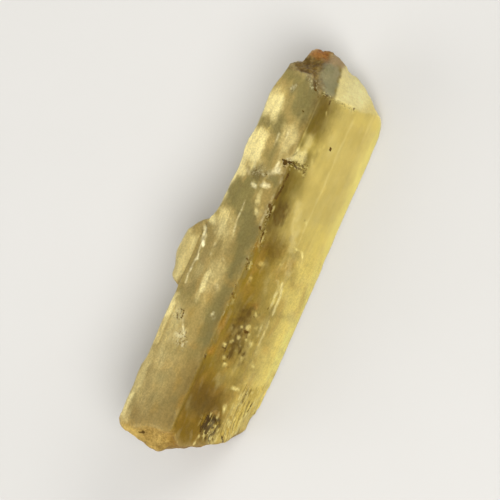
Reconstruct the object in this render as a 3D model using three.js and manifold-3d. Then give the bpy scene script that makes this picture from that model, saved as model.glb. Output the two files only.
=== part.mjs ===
// Imperial topaz crystal, lying on one of its long prism faces.
//
// A golden prism with a lozenge section and bevelled corners, a pyramidal end with a broken
// shoulder, a fractured base and one rounded side growth. It grew as one piece, so it is one solid.
//
// Millimetres. +X runs along the prism toward the pointed end and +Z is up. While the crystal is
// made, the prism's long axis is the X axis; at the end it is moved so that the origin lies on the
// surface it rests on, below the middle of its box.
import * as THREE from 'three';
import { ConvexGeometry } from 'three/addons/geometries/ConvexGeometry.js';
import { ImprovedNoise } from 'three/addons/math/ImprovedNoise.js';
import { mergeVertices } from 'three/addons/utils/BufferGeometryUtils.js';
import Module from 'manifold-3d';

// ---- driving dimensions, in millimetres and degrees ----

const RIDGE_ANGLE = 55.7; // between the normals of the two prism faces that meet in the long ridge
const BEVEL_ANGLE = 18.75; // from a prism face to the narrow bevel face beside it
const CURVE_ANGLE = 9.3; // from the right prism face to the slightly turned strip beside it

// The long faces in order around the prism. lean: where the outward normal points, turned from
// straight up toward -Y. reach: distance from the long axis. widen: added reach for each mm
// toward the base. columns: how many strips the face is divided into.
const FACES = {
  rest: { lean: 180, reach: 4.32, widen: 0, columns: 2 },
  back: { lean: 180 + RIDGE_ANGLE, reach: 3.42, widen: 0, columns: 7 },
  backBevel: { lean: 180 + RIDGE_ANGLE + BEVEL_ANGLE, reach: 3.58, widen: 0, columns: 4 },
  leftBevel: { lean: 360 - BEVEL_ANGLE, reach: 4.9, widen: 0, columns: 6 },
  top: { lean: 360, reach: 4.41, widen: 0, columns: 6 },
  right: { lean: 360 + RIDGE_ANGLE, reach: 2.85, widen: -0.003, columns: 8 },
  rightStrip: { lean: 360 + RIDGE_ANGLE + CURVE_ANGLE, reach: 3.06, widen: -0.003, columns: 5 },
  rightBevel: { lean: 360 + RIDGE_ANGLE + BEVEL_ANGLE, reach: 3.7, widen: 0.008, columns: 3 },
  underBevel: { lean: 540 - BEVEL_ANGLE, reach: 5.51, widen: 0, columns: 1 },
};
const FACE_NAMES = Object.keys(FACES);

// Stretches where a whole face stands further out, with soft ends: [face, from, to, ramp, height].
const SWELLS = [
  ['backBevel', -40, 1.6, 2.2, 0.84],
  ['backBevel', 14.2, 16.2, 1.1, 0.2],
  ['backBevel', 8.4, 10.4, 1.2, 0.36],
  ['backBevel', 17.0, 40, 0.7, -0.45],
  ['backBevel', -16.2, -14.3, 0.6, 0.22],
  ['leftBevel', -40, 6.5, 5, 0.1],
  ['back', -12, 6, 5, 0.18],
];

// Low growth mounds on a face: [face, x, place across the face 0..1, half length, half width,
// height].
const MOUNDS = [
  ['leftBevel', 14.4, 0.36, 2.0, 0.34, 0.16],
  ['leftBevel', 9.6, 0.4, 2.1, 0.36, 0.2],
  ['leftBevel', 4.2, 0.42, 2.6, 0.3, -0.1],
  ['leftBevel', -9.4, 0.5, 3.6, 0.36, 0.09],
  ['top', 7.3, 0.36, 2.4, 0.3, 0.06],
  ['top', -6.0, 0.4, 4.0, 0.3, 0.05],
  ['rightStrip', -7.0, 0.3, 6.0, 0.25, 0.06],
  ['rightStrip', 6.0, 0.6, 5.0, 0.3, 0.04],
  ['back', 12.0, 0.5, 4.5, 0.3, 0.14],
  ['back', -2.0, 0.62, 5.0, 0.26, 0.2],
  ['back', -13.0, 0.35, 4.0, 0.26, 0.16],
];

// Long narrow growth steps that stand proud of a face: [face, near side, far side, from, to,
// height]. The sides are places across the face, 0..1.
const RIBS = [
  ['leftBevel', 0.14, 0.3, -4.6, 0.8, 0.1],
  ['leftBevel', 0.52, 0.72, -18.0, 16.4, 0.07],
  ['top', 0.0, 0.12, -16.5, 12.0, 0.05],
  ['right', 0.93, 1.0, -13.0, -0.6, 0.06],
  ['rightStrip', 0.0, 0.12, -12.4, -1.4, 0.08],
  ['back', 0.18, 0.34, -15.0, 9.0, 0.12],
  ['back', 0.5, 0.58, -9.0, 15.0, 0.1],
  ['back', 0.74, 0.9, -19.0, 3.0, 0.12],
  ['backBevel', 0.3, 0.7, -19.0, 14.0, 0.08],
];
const RIB_EDGE = 0.025; // width of a rib's sloping side, as a share of the face
const RIB_RAMP = 1.2; // mm over which a rib rises and dies out at its ends

// The end faces: lean as above, slope: how steeply the face falls from the tip, apex: where its
// plane crosses the long axis.
const END_FACES = [
  { lean: RIDGE_ANGLE, slope: 45.6, apex: 20.0 }, // pyramid face above the right prism face
  { lean: 0, slope: 45.6, apex: 22.8 }, // pyramid face above the top prism face
  { lean: 117.85, slope: 39, apex: 21.4 }, // side dome, low part
  { lean: 117.85, slope: 62.3, apex: 27.2 }, // side dome, steep part
  { lean: -62.15, slope: 47.7, apex: 24.2 }, // opposite side dome
  { lean: 200, slope: 53, apex: 21.9 },
  { lean: 180 + RIDGE_ANGLE, slope: 45.6, apex: 23.3 },
];

// The broken left shoulder of the pointed end: a rough slope. It starts at rim, at the height
// rimHeight, and climbs as it goes down the side. It begins between the sideways places from and
// to; the place to lies widen further left between the heights widenFrom and widenTo. lumps and
// crumbs: grain and height of its roughness.
const SHOULDER = {
  rim: 18.15,
  rimHeight: 3.9,
  climb: 0.78,
  from: 0.6,
  to: 1.0,
  widen: 0.7,
  widenFrom: 3,
  widenTo: 4.4,
  lumps: { grain: 1.7, height: 0.3 },
  crumbs: { grain: 0.75, height: 0.16 },
  cell: 0.4,
};

// The broken base. Places on it are given across (toward climbLean) and up (square to that).
const BASE = {
  x: -21.75, // its nearly flat left part
  climbLean: 110, // the side up which the fracture climbs toward the tip
  climbStart: -1.2,
  climb: 0.376,
  climbPower: 1.35,
  ridgeAcross: -1.1, // where the long ridge ends
  frontBreak: 2.3, // how far the edge below the top face is broken back
  frontFade: [-1.3, 0.6], // across: the broken front edge dies out here
  frontFrom: 1.6, // up: where the broken front edge begins
  frontTo: 4.3,
  frontSlant: 0.36,
  toe: { across: -2.0, halfWidth: 1.5, height: 0.45 }, // the lowest point
  corner: { from: 5.3, to: 6.4, height: 1.3 }, // the left corner is broken off
  step: { from: 1.1, to: 1.5, height: 0.8 }, // a step down on the under side
  stepEnd: [1.6, 2.2],
  lumps: { grain: 1.9, height: 0.24 },
  crumbs: { grain: 0.8, height: 0.13 },
  cell: 0.5,
};

// The notch in the ridge.
const NOTCH = {
  x: 9.25,
  top: 11.1,
  leftShare: 0.74,
  rightShare: 0.44,
  peakShare: 0.1,
  depth: 0.42,
  wallRun: 0.28,
};

// The rounded growth on the left side. Across the prism it wraps round two circles, given as y, z
// and radius: its outer rim and its foot on the back face. It dies out toward the anchor, y and z.
const GROWTH = {
  from: -7.1,
  to: 1.8,
  circles: [
    [6.42, 2.3, 1.1],
    [4.1, -0.7, 1.3],
  ],
  anchor: [2.6, 1.2],
  bluntness: 3.2,
  rings: 13,
  sides: 14,
};

// Chips, pits and flakes broken out of the faces and edges.
const SCOOPS = [
  // chips along the ridge
  { face: 'right', x: 4.5, share: 0.03, length: 0.9, width: 0.7, depth: 0.14, detail: 2 },
  { face: 'right', x: 3.5, share: 0.08, length: 1.4, width: 0.8, depth: 0.12, detail: 2 },
  { face: 'right', x: 2.2, share: 0.02, length: 0.6, width: 0.5, depth: 0.12, detail: 1 },
  { face: 'right', x: -1.3, share: 0.01, length: 0.5, width: 0.5, depth: 0.14, detail: 1 },
  { face: 'right', x: -3.9, share: 0.02, length: 0.6, width: 0.5, depth: 0.12, detail: 1 },
  { face: 'right', x: -4.8, share: 0.03, length: 0.4, width: 0.5, depth: 0.1, detail: 1 },
  { face: 'right', x: -11.4, share: 0.02, length: 0.5, width: 0.4, depth: 0.12, detail: 1 },
  { face: 'right', x: 6.9, share: 0.05, length: 2.7, width: 0.2, depth: 0.12, detail: 2 },
  { face: 'top', x: 9.35, share: 0.8, length: 0.35, width: 0.45, depth: 0.25, detail: 1 },
  // the cracked pit low on the right face
  { face: 'right', x: -17.7, share: 0.84, length: 2.9, width: 2.1, depth: 0.38, lumps: 0.3 },
  { face: 'right', x: -18.6, share: 0.98, length: 1.4, width: 1.2, depth: 0.42, lumps: 0.3 },
  // the chipped lower right edge
  { face: 'rightStrip', x: -15.6, share: 0.55, length: 6.0, width: 1.5, depth: 0.22, lumps: 0.2 },
  { face: 'rightBevel', x: -14.6, share: 0.5, length: 5.6, width: 1.5, depth: 0.28, lumps: 0.2 },
  { face: 'rightBevel', x: -18.2, share: 0.9, length: 9.0, width: 6.0, depth: 0.75, lumps: 0.14 },
  // the small hole in the base and flakes on the hidden sides
  { face: 'top', x: -20.7, share: 0.1, length: 0.5, width: 0.7, depth: 0.35, detail: 1 },
  { face: 'back', x: 7.2, share: 0.12, length: 2.2, width: 1.2, depth: 0.2, lumps: 0.2 },
  { face: 'back', x: -17.5, share: 0.9, length: 3.0, width: 1.8, depth: 0.3, lumps: 0.25 },
];

// A slightly turned neighbour of the right pyramid face. It ends at the broken shoulder.
const RIDGE_FACE = { lean: 39.9, slope: 43.1, apex: 20.03, leftEnd: 0.75 };

const PRISM_FROM = -24; // the prism is made longer than the crystal, then cut at both ends
const PRISM_TO = 24;
const STATION_STEP = 1.0; // spacing of the prism's cross-sections

const FAR = 60; // larger than the whole crystal
const FACE_ROOM = 7.5; // the prism lies within this distance of its long axis
const CLEAR = 0.03; // a broken surface ends this far above the face beside it

// ---- small helpers ----

const wasm = await Module();
wasm.setup();
const noiseField = new ImprovedNoise();

// Smooth seeded noise in about -1..1; grain is the size of its lumps in mm.
function noise(x, y, z, grain, seed) {
  return 1.6 * noiseField.noise(x / grain + seed, y / grain + 2.7 * seed, z / grain + 5.1);
}

function smoothRise(value, from, to) {
  return THREE.MathUtils.smoothstep(value, from, to);
}

// A soft-edged plateau of height 1 between two places.
function plateau(value, from, to, ramp) {
  const rise = smoothRise(value, from - ramp, from + ramp);
  return rise * (1 - smoothRise(value, to - ramp, to + ramp));
}

// A soft hump of height 1 around a place.
function hump(value, centre, halfWidth) {
  const away = Math.min(Math.abs(value - centre) / halfWidth, 1);
  return 0.5 + 0.5 * Math.cos(Math.PI * away);
}

// Unit vector across the prism that leans from straight up toward -Y.
function leanVector(lean) {
  const angle = THREE.MathUtils.degToRad(lean);
  return new THREE.Vector3(0, -Math.sin(angle), Math.cos(angle));
}

function toSolid(geometry) {
  const bare = geometry.clone();
  bare.deleteAttribute('normal');
  bare.deleteAttribute('uv');
  const merged = mergeVertices(bare, 1e-5);
  const vertProperties = new Float32Array(merged.attributes.position.array);
  const triVerts = new Uint32Array(merged.index.array);
  return new wasm.Manifold(new wasm.Mesh({ numProp: 3, vertProperties, triVerts }));
}

function toGeometry(solid) {
  const mesh = solid.getMesh();
  const geometry = new THREE.BufferGeometry();
  geometry.setAttribute('position', new THREE.BufferAttribute(mesh.vertProperties, 3));
  geometry.setIndex(new THREE.BufferAttribute(mesh.triVerts, 1));
  return geometry;
}

// ---- the prism ----

function faceReach(name, x) {
  const face = FACES[name];
  let reach = face.reach - face.widen * x;
  for (const [swollen, from, to, ramp, height] of SWELLS) {
    if (swollen === name) reach += height * plateau(x, from, to, ramp);
  }
  return reach;
}

function neighbour(name, step) {
  const count = FACE_NAMES.length;
  return FACE_NAMES[(FACE_NAMES.indexOf(name) + step + count) % count];
}

// The corner that a face shares with the next one around the prism, at one cross-section.
function cornerAfter(name, x) {
  const other = neighbour(name, 1);
  const a = leanVector(FACES[name].lean);
  const b = leanVector(FACES[other].lean);
  const reachA = faceReach(name, x);
  const reachB = faceReach(other, x);
  const across = a.y * b.z - a.z * b.y;
  const y = (reachA * b.z - reachB * a.z) / across;
  const z = (reachB * a.y - reachA * b.y) / across;
  return new THREE.Vector3(x, y, z);
}

// The point of a face at one cross-section, and at a share 0..1 of the way across the face.
function onFace(name, x, share) {
  return cornerAfter(neighbour(name, -1), x).lerp(cornerAfter(name, x), share);
}

// How far growth mounds and ribs lift the surface off the flat face.
function relief(name, x, share) {
  let height = 0;
  for (const [face, centre, across, halfLength, halfWidth, lift] of MOUNDS) {
    if (face === name) height += lift * hump(x, centre, halfLength) * hump(share, across, halfWidth);
  }
  for (const [face, near, far, from, to, lift] of RIBS) {
    if (face !== name) continue;
    const side = Math.min((share - near) / RIB_EDGE, (far - share) / RIB_EDGE);
    const step = THREE.MathUtils.clamp(side, 0, 1);
    height += lift * step * plateau(x, from, to, RIB_RAMP);
  }
  const inside = Math.min(share, 1 - share) < 1e-6 ? 0 : 1;
  return height * inside;
}

// Places across a face where the surface is sampled: even strips and the sides of its ribs.
function shares(name) {
  const count = FACES[name].columns;
  const places = [];
  for (let i = 0; i < count; i += 1) places.push(i / count);
  for (const [face, near, far] of RIBS) {
    if (face === name) places.push(near, near + RIB_EDGE, far - RIB_EDGE, far);
  }
  places.sort((a, b) => a - b);
  return places.filter((place, i) => place < 1 && (i === 0 || place - places[i - 1] > 0.01));
}

// A closed skin over rings of points, with one more point at each end.
function closedLoft(positions, rings, sides) {
  const indices = [];
  for (let j = 0; j < sides; j += 1) {
    const k = (j + 1) % sides;
    for (let i = 0; i < rings - 1; i += 1) {
      const a = i * sides;
      const b = a + sides;
      indices.push(a + j, a + k, b + j, a + k, b + k, b + j);
    }
    const last = (rings - 1) * sides;
    indices.push(rings * sides, k, j);
    indices.push(rings * sides + 1, last + j, last + k);
  }
  const geometry = new THREE.BufferGeometry();
  geometry.setAttribute('position', new THREE.Float32BufferAttribute(positions, 3));
  geometry.setIndex(indices);
  return geometry;
}

function prismSolid() {
  const ring = FACE_NAMES.flatMap((name) => shares(name).map((share) => ({ name, share })));
  const stations = Math.round((PRISM_TO - PRISM_FROM) / STATION_STEP);
  const positions = [];
  for (let i = 0; i <= stations; i += 1) {
    const x = THREE.MathUtils.lerp(PRISM_FROM, PRISM_TO, i / stations);
    for (const { name, share } of ring) {
      const lift = leanVector(FACES[name].lean).multiplyScalar(relief(name, x, share));
      positions.push(...onFace(name, x, share).add(lift));
    }
  }
  positions.push(PRISM_FROM, 0, 0, PRISM_TO, 0, 0);
  return toSolid(closedLoft(positions, stations + 1, ring.length));
}

// ---- the pointed end ----

// Everything beyond one end face.
function beyondEndFace({ lean, slope, apex }) {
  const tilt = THREE.MathUtils.degToRad(slope);
  const normal = leanVector(lean).multiplyScalar(Math.sin(tilt));
  normal.x = Math.cos(tilt);
  const block = new THREE.BoxGeometry(FAR, FAR, FAR);
  block.translate(0, 0, FAR / 2);
  block.applyQuaternion(new THREE.Quaternion().setFromUnitVectors(new THREE.Vector3(0, 0, 1), normal));
  block.translate(apex, 0, 0);
  return toSolid(block);
}

function cutEndFaces(crystal) {
  return END_FACES.reduce((solid, face) => solid.subtract(beyondEndFace(face)), crystal);
}

// ---- broken surfaces ----

// The height of a broken surface above its even shape.
function roughness({ lumps, crumbs }, y, z, seed) {
  const large = lumps.height * noise(0, y, z, lumps.grain, seed);
  return large + crumbs.height * noise(0, y, z, crumbs.grain, seed + 5);
}

// A block with one rough side, placed across the prism: it fills everything from the rough side on,
// toward the tip (toward = 1) or toward the base (toward = -1). place(y, z) gives the rough side's x.
function roughBlock({ yFrom, yTo, zFrom, zTo, cell, toward, place }) {
  const width = yTo - yFrom;
  const height = zTo - zFrom;
  const columns = Math.round(width / cell);
  const rows = Math.round(height / cell);
  const block = new THREE.BoxGeometry(1, height, width, 1, rows, columns);
  const position = block.attributes.position;
  for (let i = 0; i < position.count; i += 1) {
    const y = position.getZ(i) + (yFrom + yTo) / 2;
    const z = position.getY(i) + (zFrom + zTo) / 2;
    const rough = position.getX(i) * toward < 0;
    position.setXYZ(i, rough ? place(y, z) : toward * FAR, y, z);
  }
  block.index.array.reverse(); // the axes were exchanged, so the triangles are turned to match
  return toSolid(block);
}

// The left shoulder of the pointed end broke off. From a ledge at the top face's rim a rough slope
// climbs to the tip; toward the ridge it runs out in the face beside it.
function brokenShoulder() {
  const { rim, rimHeight, climb, from, to, widen, widenFrom, widenTo, cell } = SHOULDER;
  const { lean, slope, apex } = RIDGE_FACE;
  const fall = leanVector(lean).multiplyScalar(Math.tan(THREE.MathUtils.degToRad(slope)));
  return roughBlock({
    yFrom: -0.6,
    yTo: FACE_ROOM,
    zFrom: -5,
    zTo: 6,
    cell,
    toward: 1,
    place(y, z) {
      const ridgeFace = apex - fall.y * y - fall.z * z;
      const broken = rim + climb * Math.max(rimHeight - z, 0) + roughness(SHOULDER, y, z, 3.1);
      const end = to + widen * smoothRise(z, widenFrom, widenTo);
      return THREE.MathUtils.lerp(ridgeFace + CLEAR, broken, smoothRise(y, from, end));
    },
  });
}

// The face over the ridge, cut only up to the broken shoulder.
function beyondRidgeFace() {
  const side = new THREE.BoxGeometry(FAR, FAR, FAR);
  side.translate(0, RIDGE_FACE.leftEnd - FAR / 2, 0);
  return beyondEndFace(RIDGE_FACE).intersect(toSolid(side));
}

// The base is a rough fracture. It is nearly square to the prism on the left and climbs up the
// right side, and the edge below the top face is broken back.
function brokenBase() {
  const { toe, corner, step } = BASE;
  const acrossAxis = leanVector(BASE.climbLean);
  const upAxis = leanVector(BASE.climbLean - 90);
  return roughBlock({
    yFrom: -FACE_ROOM,
    yTo: FACE_ROOM,
    zFrom: -6,
    zTo: 6,
    cell: BASE.cell,
    toward: -1,
    place(y, z) {
      const across = y * acrossAxis.y + z * acrossAxis.z;
      const up = y * upAxis.y + z * upAxis.z;
      const climb = BASE.climb * Math.max(across - BASE.climbStart, 0) ** BASE.climbPower;
      const side = smoothRise(across, -FACE_ROOM, BASE.ridgeAcross);
      const front = side - smoothRise(across, ...BASE.frontFade);
      const slant = BASE.frontSlant * Math.min(across - BASE.ridgeAcross, 0);
      const frontEdge = front * smoothRise(up, BASE.frontFrom, BASE.frontTo + slant);
      const belowStep = smoothRise(-up, step.from, step.to);
      const backStep = belowStep * (1 - smoothRise(across, ...BASE.stepEnd));
      const toeHump = toe.height * hump(across, toe.across, toe.halfWidth);
      const cornerBreak = corner.height * smoothRise(-across, corner.from, corner.to);
      const breaks = BASE.frontBreak * frontEdge + step.height * backStep + cornerBreak;
      return BASE.x - toeHump + climb + breaks + roughness(BASE, y, z, 1.3);
    },
  });
}

// A rough bowl that is cut into a face: a lumpy ellipsoid whose middle lies above the surface.
function scoop({ face, x, share, length, width, depth, lumps = 0.1, detail = 3 }) {
  const bowl = new THREE.IcosahedronGeometry(1, detail);
  const position = bowl.attributes.position;
  const point = new THREE.Vector3();
  for (let i = 0; i < position.count; i += 1) {
    point.fromBufferAttribute(position, i);
    const swell = 1 + lumps * noise(point.x, point.y, point.z, 0.7, 3.7 * x + share);
    position.setXYZ(i, ...point.multiplyScalar(swell));
  }
  bowl.scale(length / Math.sqrt(3), width / Math.sqrt(3), 2 * depth); // half of it is cut in
  bowl.rotateX(THREE.MathUtils.degToRad(FACES[face].lean));
  const up = leanVector(FACES[face].lean).multiplyScalar(depth);
  const centre = onFace(face, x, share).add(up);
  bowl.translate(centre.x, centre.y, centre.z);
  return toSolid(bowl);
}

// The notch across the ridge: a wall square to the prism, and a slope that climbs from its foot
// back to the ridge.
function ridgeNotch() {
  const { x, top, leftShare, rightShare, peakShare, depth } = NOTCH;
  const outward = leanVector(RIDGE_ANGLE / 2);
  const ridge = cornerAfter('top', x);
  const left = onFace('top', x, leftShare);
  const right = onFace('right', x, rightShare);
  const foot = ridge.clone().addScaledVector(outward, -depth);
  foot.x += NOTCH.wallRun;
  const peak = onFace('right', top, peakShare);
  const lift = outward.clone().multiplyScalar(depth);
  const rim = [left, right, peak].map((corner) => corner.clone().add(lift));
  return toSolid(new ConvexGeometry([left, right, foot, peak, ...rim, ridge.clone().add(lift)]));
}

// ---- the side growth ----

// A thick rounded tongue that lies on the back face and stands out past the left side. Along the
// prism its rim follows a blunt curve.
function sideGrowth() {
  const { from, to, circles, bluntness, rings, sides } = GROWTH;
  const anchor = new THREE.Vector3(0, ...GROWTH.anchor);
  const points = [];
  for (let i = 0; i <= rings; i += 1) {
    const along = -Math.cos((Math.PI * i) / rings);
    const full = (1 - Math.abs(along) ** bluntness) ** 0.5;
    for (const [y, z, radius] of circles) {
      for (let j = 0; j < sides; j += 1) {
        const angle = (2 * Math.PI * j) / sides;
        const spread = radius * (1 + 0.1 * noise(2 * along, Math.cos(angle), Math.sin(angle), 0.8, z));
        const point = new THREE.Vector3(0, y + spread * Math.cos(angle), z + spread * Math.sin(angle));
        point.sub(anchor).multiplyScalar(full).add(anchor);
        point.x = THREE.MathUtils.lerp(from, to, (along + 1) / 2);
        points.push(point);
      }
    }
  }
  return toSolid(new ConvexGeometry(points));
}

// ---- assembly ----

function buildCrystal() {
  let crystal = prismSolid().add(sideGrowth());
  crystal = cutEndFaces(crystal);
  crystal = crystal.subtract(beyondRidgeFace()).subtract(brokenShoulder());
  crystal = crystal.subtract(brokenBase());
  crystal = crystal.subtract(ridgeNotch());
  for (const chip of SCOOPS) crystal = crystal.subtract(scoop(chip));
  return crystal;
}

const geometry = toGeometry(buildCrystal());
geometry.computeBoundingBox();
const box = geometry.boundingBox;
const middle = box.getCenter(new THREE.Vector3());
geometry.translate(-middle.x, -middle.y, -box.min.z);

const topaz = new THREE.MeshStandardMaterial({ color: 0xc9b25f, roughness: 0.25, metalness: 0 });
const crystal = new THREE.Mesh(geometry, topaz);
crystal.name = 'topaz_crystal';

const part = new THREE.Group();
part.add(crystal);

export default part;
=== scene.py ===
import math

import bpy
import numpy as np
from mathutils import Matrix, Vector


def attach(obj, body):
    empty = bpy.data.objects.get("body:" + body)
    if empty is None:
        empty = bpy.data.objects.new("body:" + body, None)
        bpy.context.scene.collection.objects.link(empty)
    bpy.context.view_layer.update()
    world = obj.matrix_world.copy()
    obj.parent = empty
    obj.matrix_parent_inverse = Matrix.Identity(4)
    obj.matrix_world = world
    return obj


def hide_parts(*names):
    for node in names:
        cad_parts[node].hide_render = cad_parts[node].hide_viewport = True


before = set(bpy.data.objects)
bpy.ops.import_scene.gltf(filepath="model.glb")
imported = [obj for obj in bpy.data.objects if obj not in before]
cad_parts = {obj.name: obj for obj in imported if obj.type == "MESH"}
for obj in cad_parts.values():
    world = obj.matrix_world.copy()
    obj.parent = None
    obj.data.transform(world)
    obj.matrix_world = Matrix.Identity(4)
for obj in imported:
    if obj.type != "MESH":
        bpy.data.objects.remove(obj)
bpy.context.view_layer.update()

# The dressed imperial topaz crystal. It lies on a long prism face, and +X runs toward its point.
# Places on its front are given in millimetres as (t, s): t runs across the prism, and s runs along
# it toward the point. Both are 0 near the middle of the long ridge between the two front faces;
# the left face has t below 0 and the right face has t above 0.

MM = 0.001
LEAN = math.radians(20)  # the front looks this far sideways from straight up
ACROSS = np.array([0, -math.cos(LEAN), -math.sin(LEAN)])
ALONG = np.array([1.0, 0, 0])
OUTWARD = np.array([0, -math.sin(LEAN), math.cos(LEAN)])
T_ZERO, S_ZERO = -1.625, 0.41  # how far across and along the frame t and s are 0, in mm

VOXEL = 0.1 * MM
STRETCH = 2.0  # cells are this much longer along the prism than across it
SETTLE_ROUNDS = 2  # smoothing passes that take the voxel steps out of the fine mesh
WEAR = 0.8  # share of the way that a worn zone moves toward its smoothed shape
LEFT_WEAR_ROUNDS = 50
BACK_WEAR_ROUNDS = 14

PIT_COUNT = 150
PIT_SIZES = (0.14, 0.4)
PIT_DEPTH = 0.03  # of its size
PIT_SHAPE = np.array([1.8, 1, 1])  # longer along the prism


def srgb(r, g, b):
    """A colour given as 0-255 display values, as linear RGBA."""
    return tuple(((c / 255 + 0.055) / 1.055) ** 2.4 if c > 10 else c / 3294 for c in (r, g, b)) + (1,)


def rise(value, low, high):
    """0 below low, 1 above high, smooth between."""
    share = np.clip((value - low) / (high - low), 0, 1)
    return share * share * (3 - 2 * share)


def band(value, low, high, ramp):
    """1 between low and high, 0 outside, smooth within ramp of both."""
    return rise(value, low - ramp, low + ramp) * (1 - rise(value, high - ramp, high + ramp))


# ---- smooth seeded noise ----

ORDER = np.random.default_rng(11).permutation(256)
SLOPES = np.random.default_rng(12).normal(size=(256, 3))
SLOPES /= np.linalg.norm(SLOPES, axis=1)[:, None]
SEED_SHIFT = np.array([17.3, 31.7, 5.9])
NOISE_GAIN = 1.8
LAYERED_SUM = 1.6


def noise(places, grain, seed):
    """Gradient noise in about -1..1 at places in mm; grain is one size or a size for each axis."""
    scaled = places / np.asarray(grain) + SEED_SHIFT * seed
    cell = np.floor(scaled).astype(int)
    inside = scaled - cell
    weight = inside * inside * inside * (inside * (inside * 6 - 15) + 10)
    total = np.zeros(len(scaled))
    for step in np.ndindex(2, 2, 2):
        corner = 0
        for axis in range(3):
            corner = ORDER[(corner + cell[:, axis] + step[axis]) & 255]
        slope = (SLOPES[corner] * (inside - np.array(step))).sum(1)
        share = np.where(step, weight, 1 - weight)
        total += share[:, 0] * share[:, 1] * share[:, 2] * slope
    return NOISE_GAIN * total


def layered(places, grain, seed, layers=3):
    """Several layers of noise, each half the size of the one before."""
    total = np.zeros(len(places))
    for layer in range(layers):
        total += noise(places, np.asarray(grain) / 2**layer, seed + layer) / 2**layer
    return total / LAYERED_SUM


# ---- the crystal's fine mesh ----


def add_to_scene(thing):
    bpy.context.scene.collection.objects.link(thing)


def refined_copy(source, name):
    """A fine, evenly meshed copy of a CAD node."""
    mesh = source.data.copy()
    mesh.materials.clear()
    mesh.transform(Matrix.Diagonal((1 / STRETCH, 1, 1, 1)))
    rough = bpy.data.objects.new(name + "_rough", mesh)
    add_to_scene(rough)
    remesh = rough.modifiers.new("remesh", "REMESH")
    remesh.mode = "VOXEL"
    remesh.voxel_size = VOXEL
    graph = bpy.context.evaluated_depsgraph_get()
    fine = bpy.data.meshes.new_from_object(rough.evaluated_get(graph))
    bpy.data.objects.remove(rough)
    fine.transform(Matrix.Diagonal((STRETCH, 1, 1, 1)))
    fine.name = name
    return fine


def read(items, key, width, kind=float):
    """A property of a mesh's vertices or edges, one row for each."""
    values = np.zeros(len(items) * width, kind)
    items.foreach_get(key, values)
    return values.reshape(-1, width)


def place_vertices(mesh, places):
    mesh.vertices.foreach_set("co", (places * MM).ravel())
    mesh.update()


def smoothed(values, ends, rounds, amount=0.5):
    """Values drawn toward the mean of their neighbours on the mesh."""
    flat = values.ndim == 1
    result = values[:, None].copy() if flat else values.copy()
    count = np.bincount(ends.ravel(), minlength=len(result))[:, None]
    for _ in range(rounds):
        total = np.zeros_like(result)
        for k in range(result.shape[1]):
            total[:, k] = np.bincount(ends[:, 0], result[ends[:, 1], k], len(result))
            total[:, k] += np.bincount(ends[:, 1], result[ends[:, 0], k], len(result))
        result += amount * (total / count - result)
    return result[:, 0] if flat else result


# Small moves that bring the worn outline to its place: [t, s, reach in t, reach in s, move in t,
# move in s]. This table and the ones below run from the tip down to the base.
NUDGES = [
    (-0.8, 21.2, 1.1, 1.3, 0, 0.34),
    (-2.4, 21, 0.6, 0.6, 0.22, -0.05),
    (-2.2, 20.7, 0.9, 1, -0.14, 0.3),
    (2.1, 20.6, 1.1, 1, -0.05, -0.3),
    (-3, 19.6, 0.6, 0.6, 0.12, -0.14),
    (4, 19.5, 0.9, 0.8, 0.08, 0.12),
    (5, 18.9, 1.3, 1.2, 0.08, 0.12),
    (6.8, 17, 1.3, 1.8, 0.2, 0.08),
    (-4.7, 13.2, 1.2, 4, -0.2, 0),
    (-4.8, 9, 1.2, 3, -0.1, 0),
    (-4.7, 5, 1.2, 3.2, -0.24, 0),
    (-5.2, 1.6, 1, 1.3, -0.18, 0),
    (-6.6, -4.2, 0.9, 1.1, 0.13, 0),
    (-5.7, -5.8, 1, 1.4, -0.28, 0),
    (-5.3, -9.5, 1.2, 4.5, -0.1, 0),
    (6.7, -17.1, 1, 1.4, 0.2, -0.05),
    (-5.3, -17.6, 1.2, 5, -0.15, 0),
    (5.3, -18.5, 2.2, 2, 0.3, -0.3),
    (3.8, -20.2, 1.5, 1, 0.16, -0.2),
    (-5, -20.9, 1, 1.1, -0.2, -0.1),
    (1.1, -21.6, 1.5, 1.2, 0, 0.24),
    (-4, -21.9, 1, 0.9, 0, 0.26),
]

def nudged(places):
    t, s = places @ ACROSS - T_ZERO, places[:, 0] - S_ZERO
    moved = places.copy()
    for at_t, at_s, reach_t, reach_s, move_t, move_s in NUDGES:
        away = np.hypot((t - at_t) / reach_t, (s - at_s) / reach_s)
        share = (1 - rise(away, 0.1, 1))[:, None]
        moved += share * (move_t * ACROSS + move_s * ALONG)
    return moved


crystal_mesh = refined_copy(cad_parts["topaz_crystal"], "crystal")
ends = read(crystal_mesh.edges, "vertices", 2, int)
points = read(crystal_mesh.vertices, "co", 3) / MM
points = nudged(smoothed(points, ends, SETTLE_ROUNDS))
T = points @ ACROSS - T_ZERO
S = points[:, 0] - S_ZERO

# the growth steps of the left face are worn soft
worn_left = band(T, -4.3, -1.9, 0.35) * band(S, -20.4, 16.0, 0.8)
worn_left = (worn_left * rise(points @ OUTWARD, 4.6, 5.4))[:, None]
points += WEAR * worn_left * (smoothed(points, ends, LEFT_WEAR_ROUNDS) - points)
# and so are the flake scars of the underside
underside = 1 - rise(points @ OUTWARD, 2.6, 3.8)
scars = band(points[:, 0], 4.6, 9.8, 0.6) + band(points[:, 0], -18.6, -15.0, 0.6)
worn_back = (underside * scars)[:, None]
points += WEAR * worn_back * (smoothed(points, ends, BACK_WEAR_ROUNDS) - points)
place_vertices(crystal_mesh, points)

facing = smoothed(read(crystal_mesh.vertices, "normal", 3), ends, 3)
facing /= np.linalg.norm(facing, axis=1)[:, None]
front = rise(facing @ OUTWARD, -0.12, 0.2)
hidden = 1 - front
resting = rise(-facing[:, 2], 0.9, 0.99)
tipward = facing[:, 0]

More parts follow.
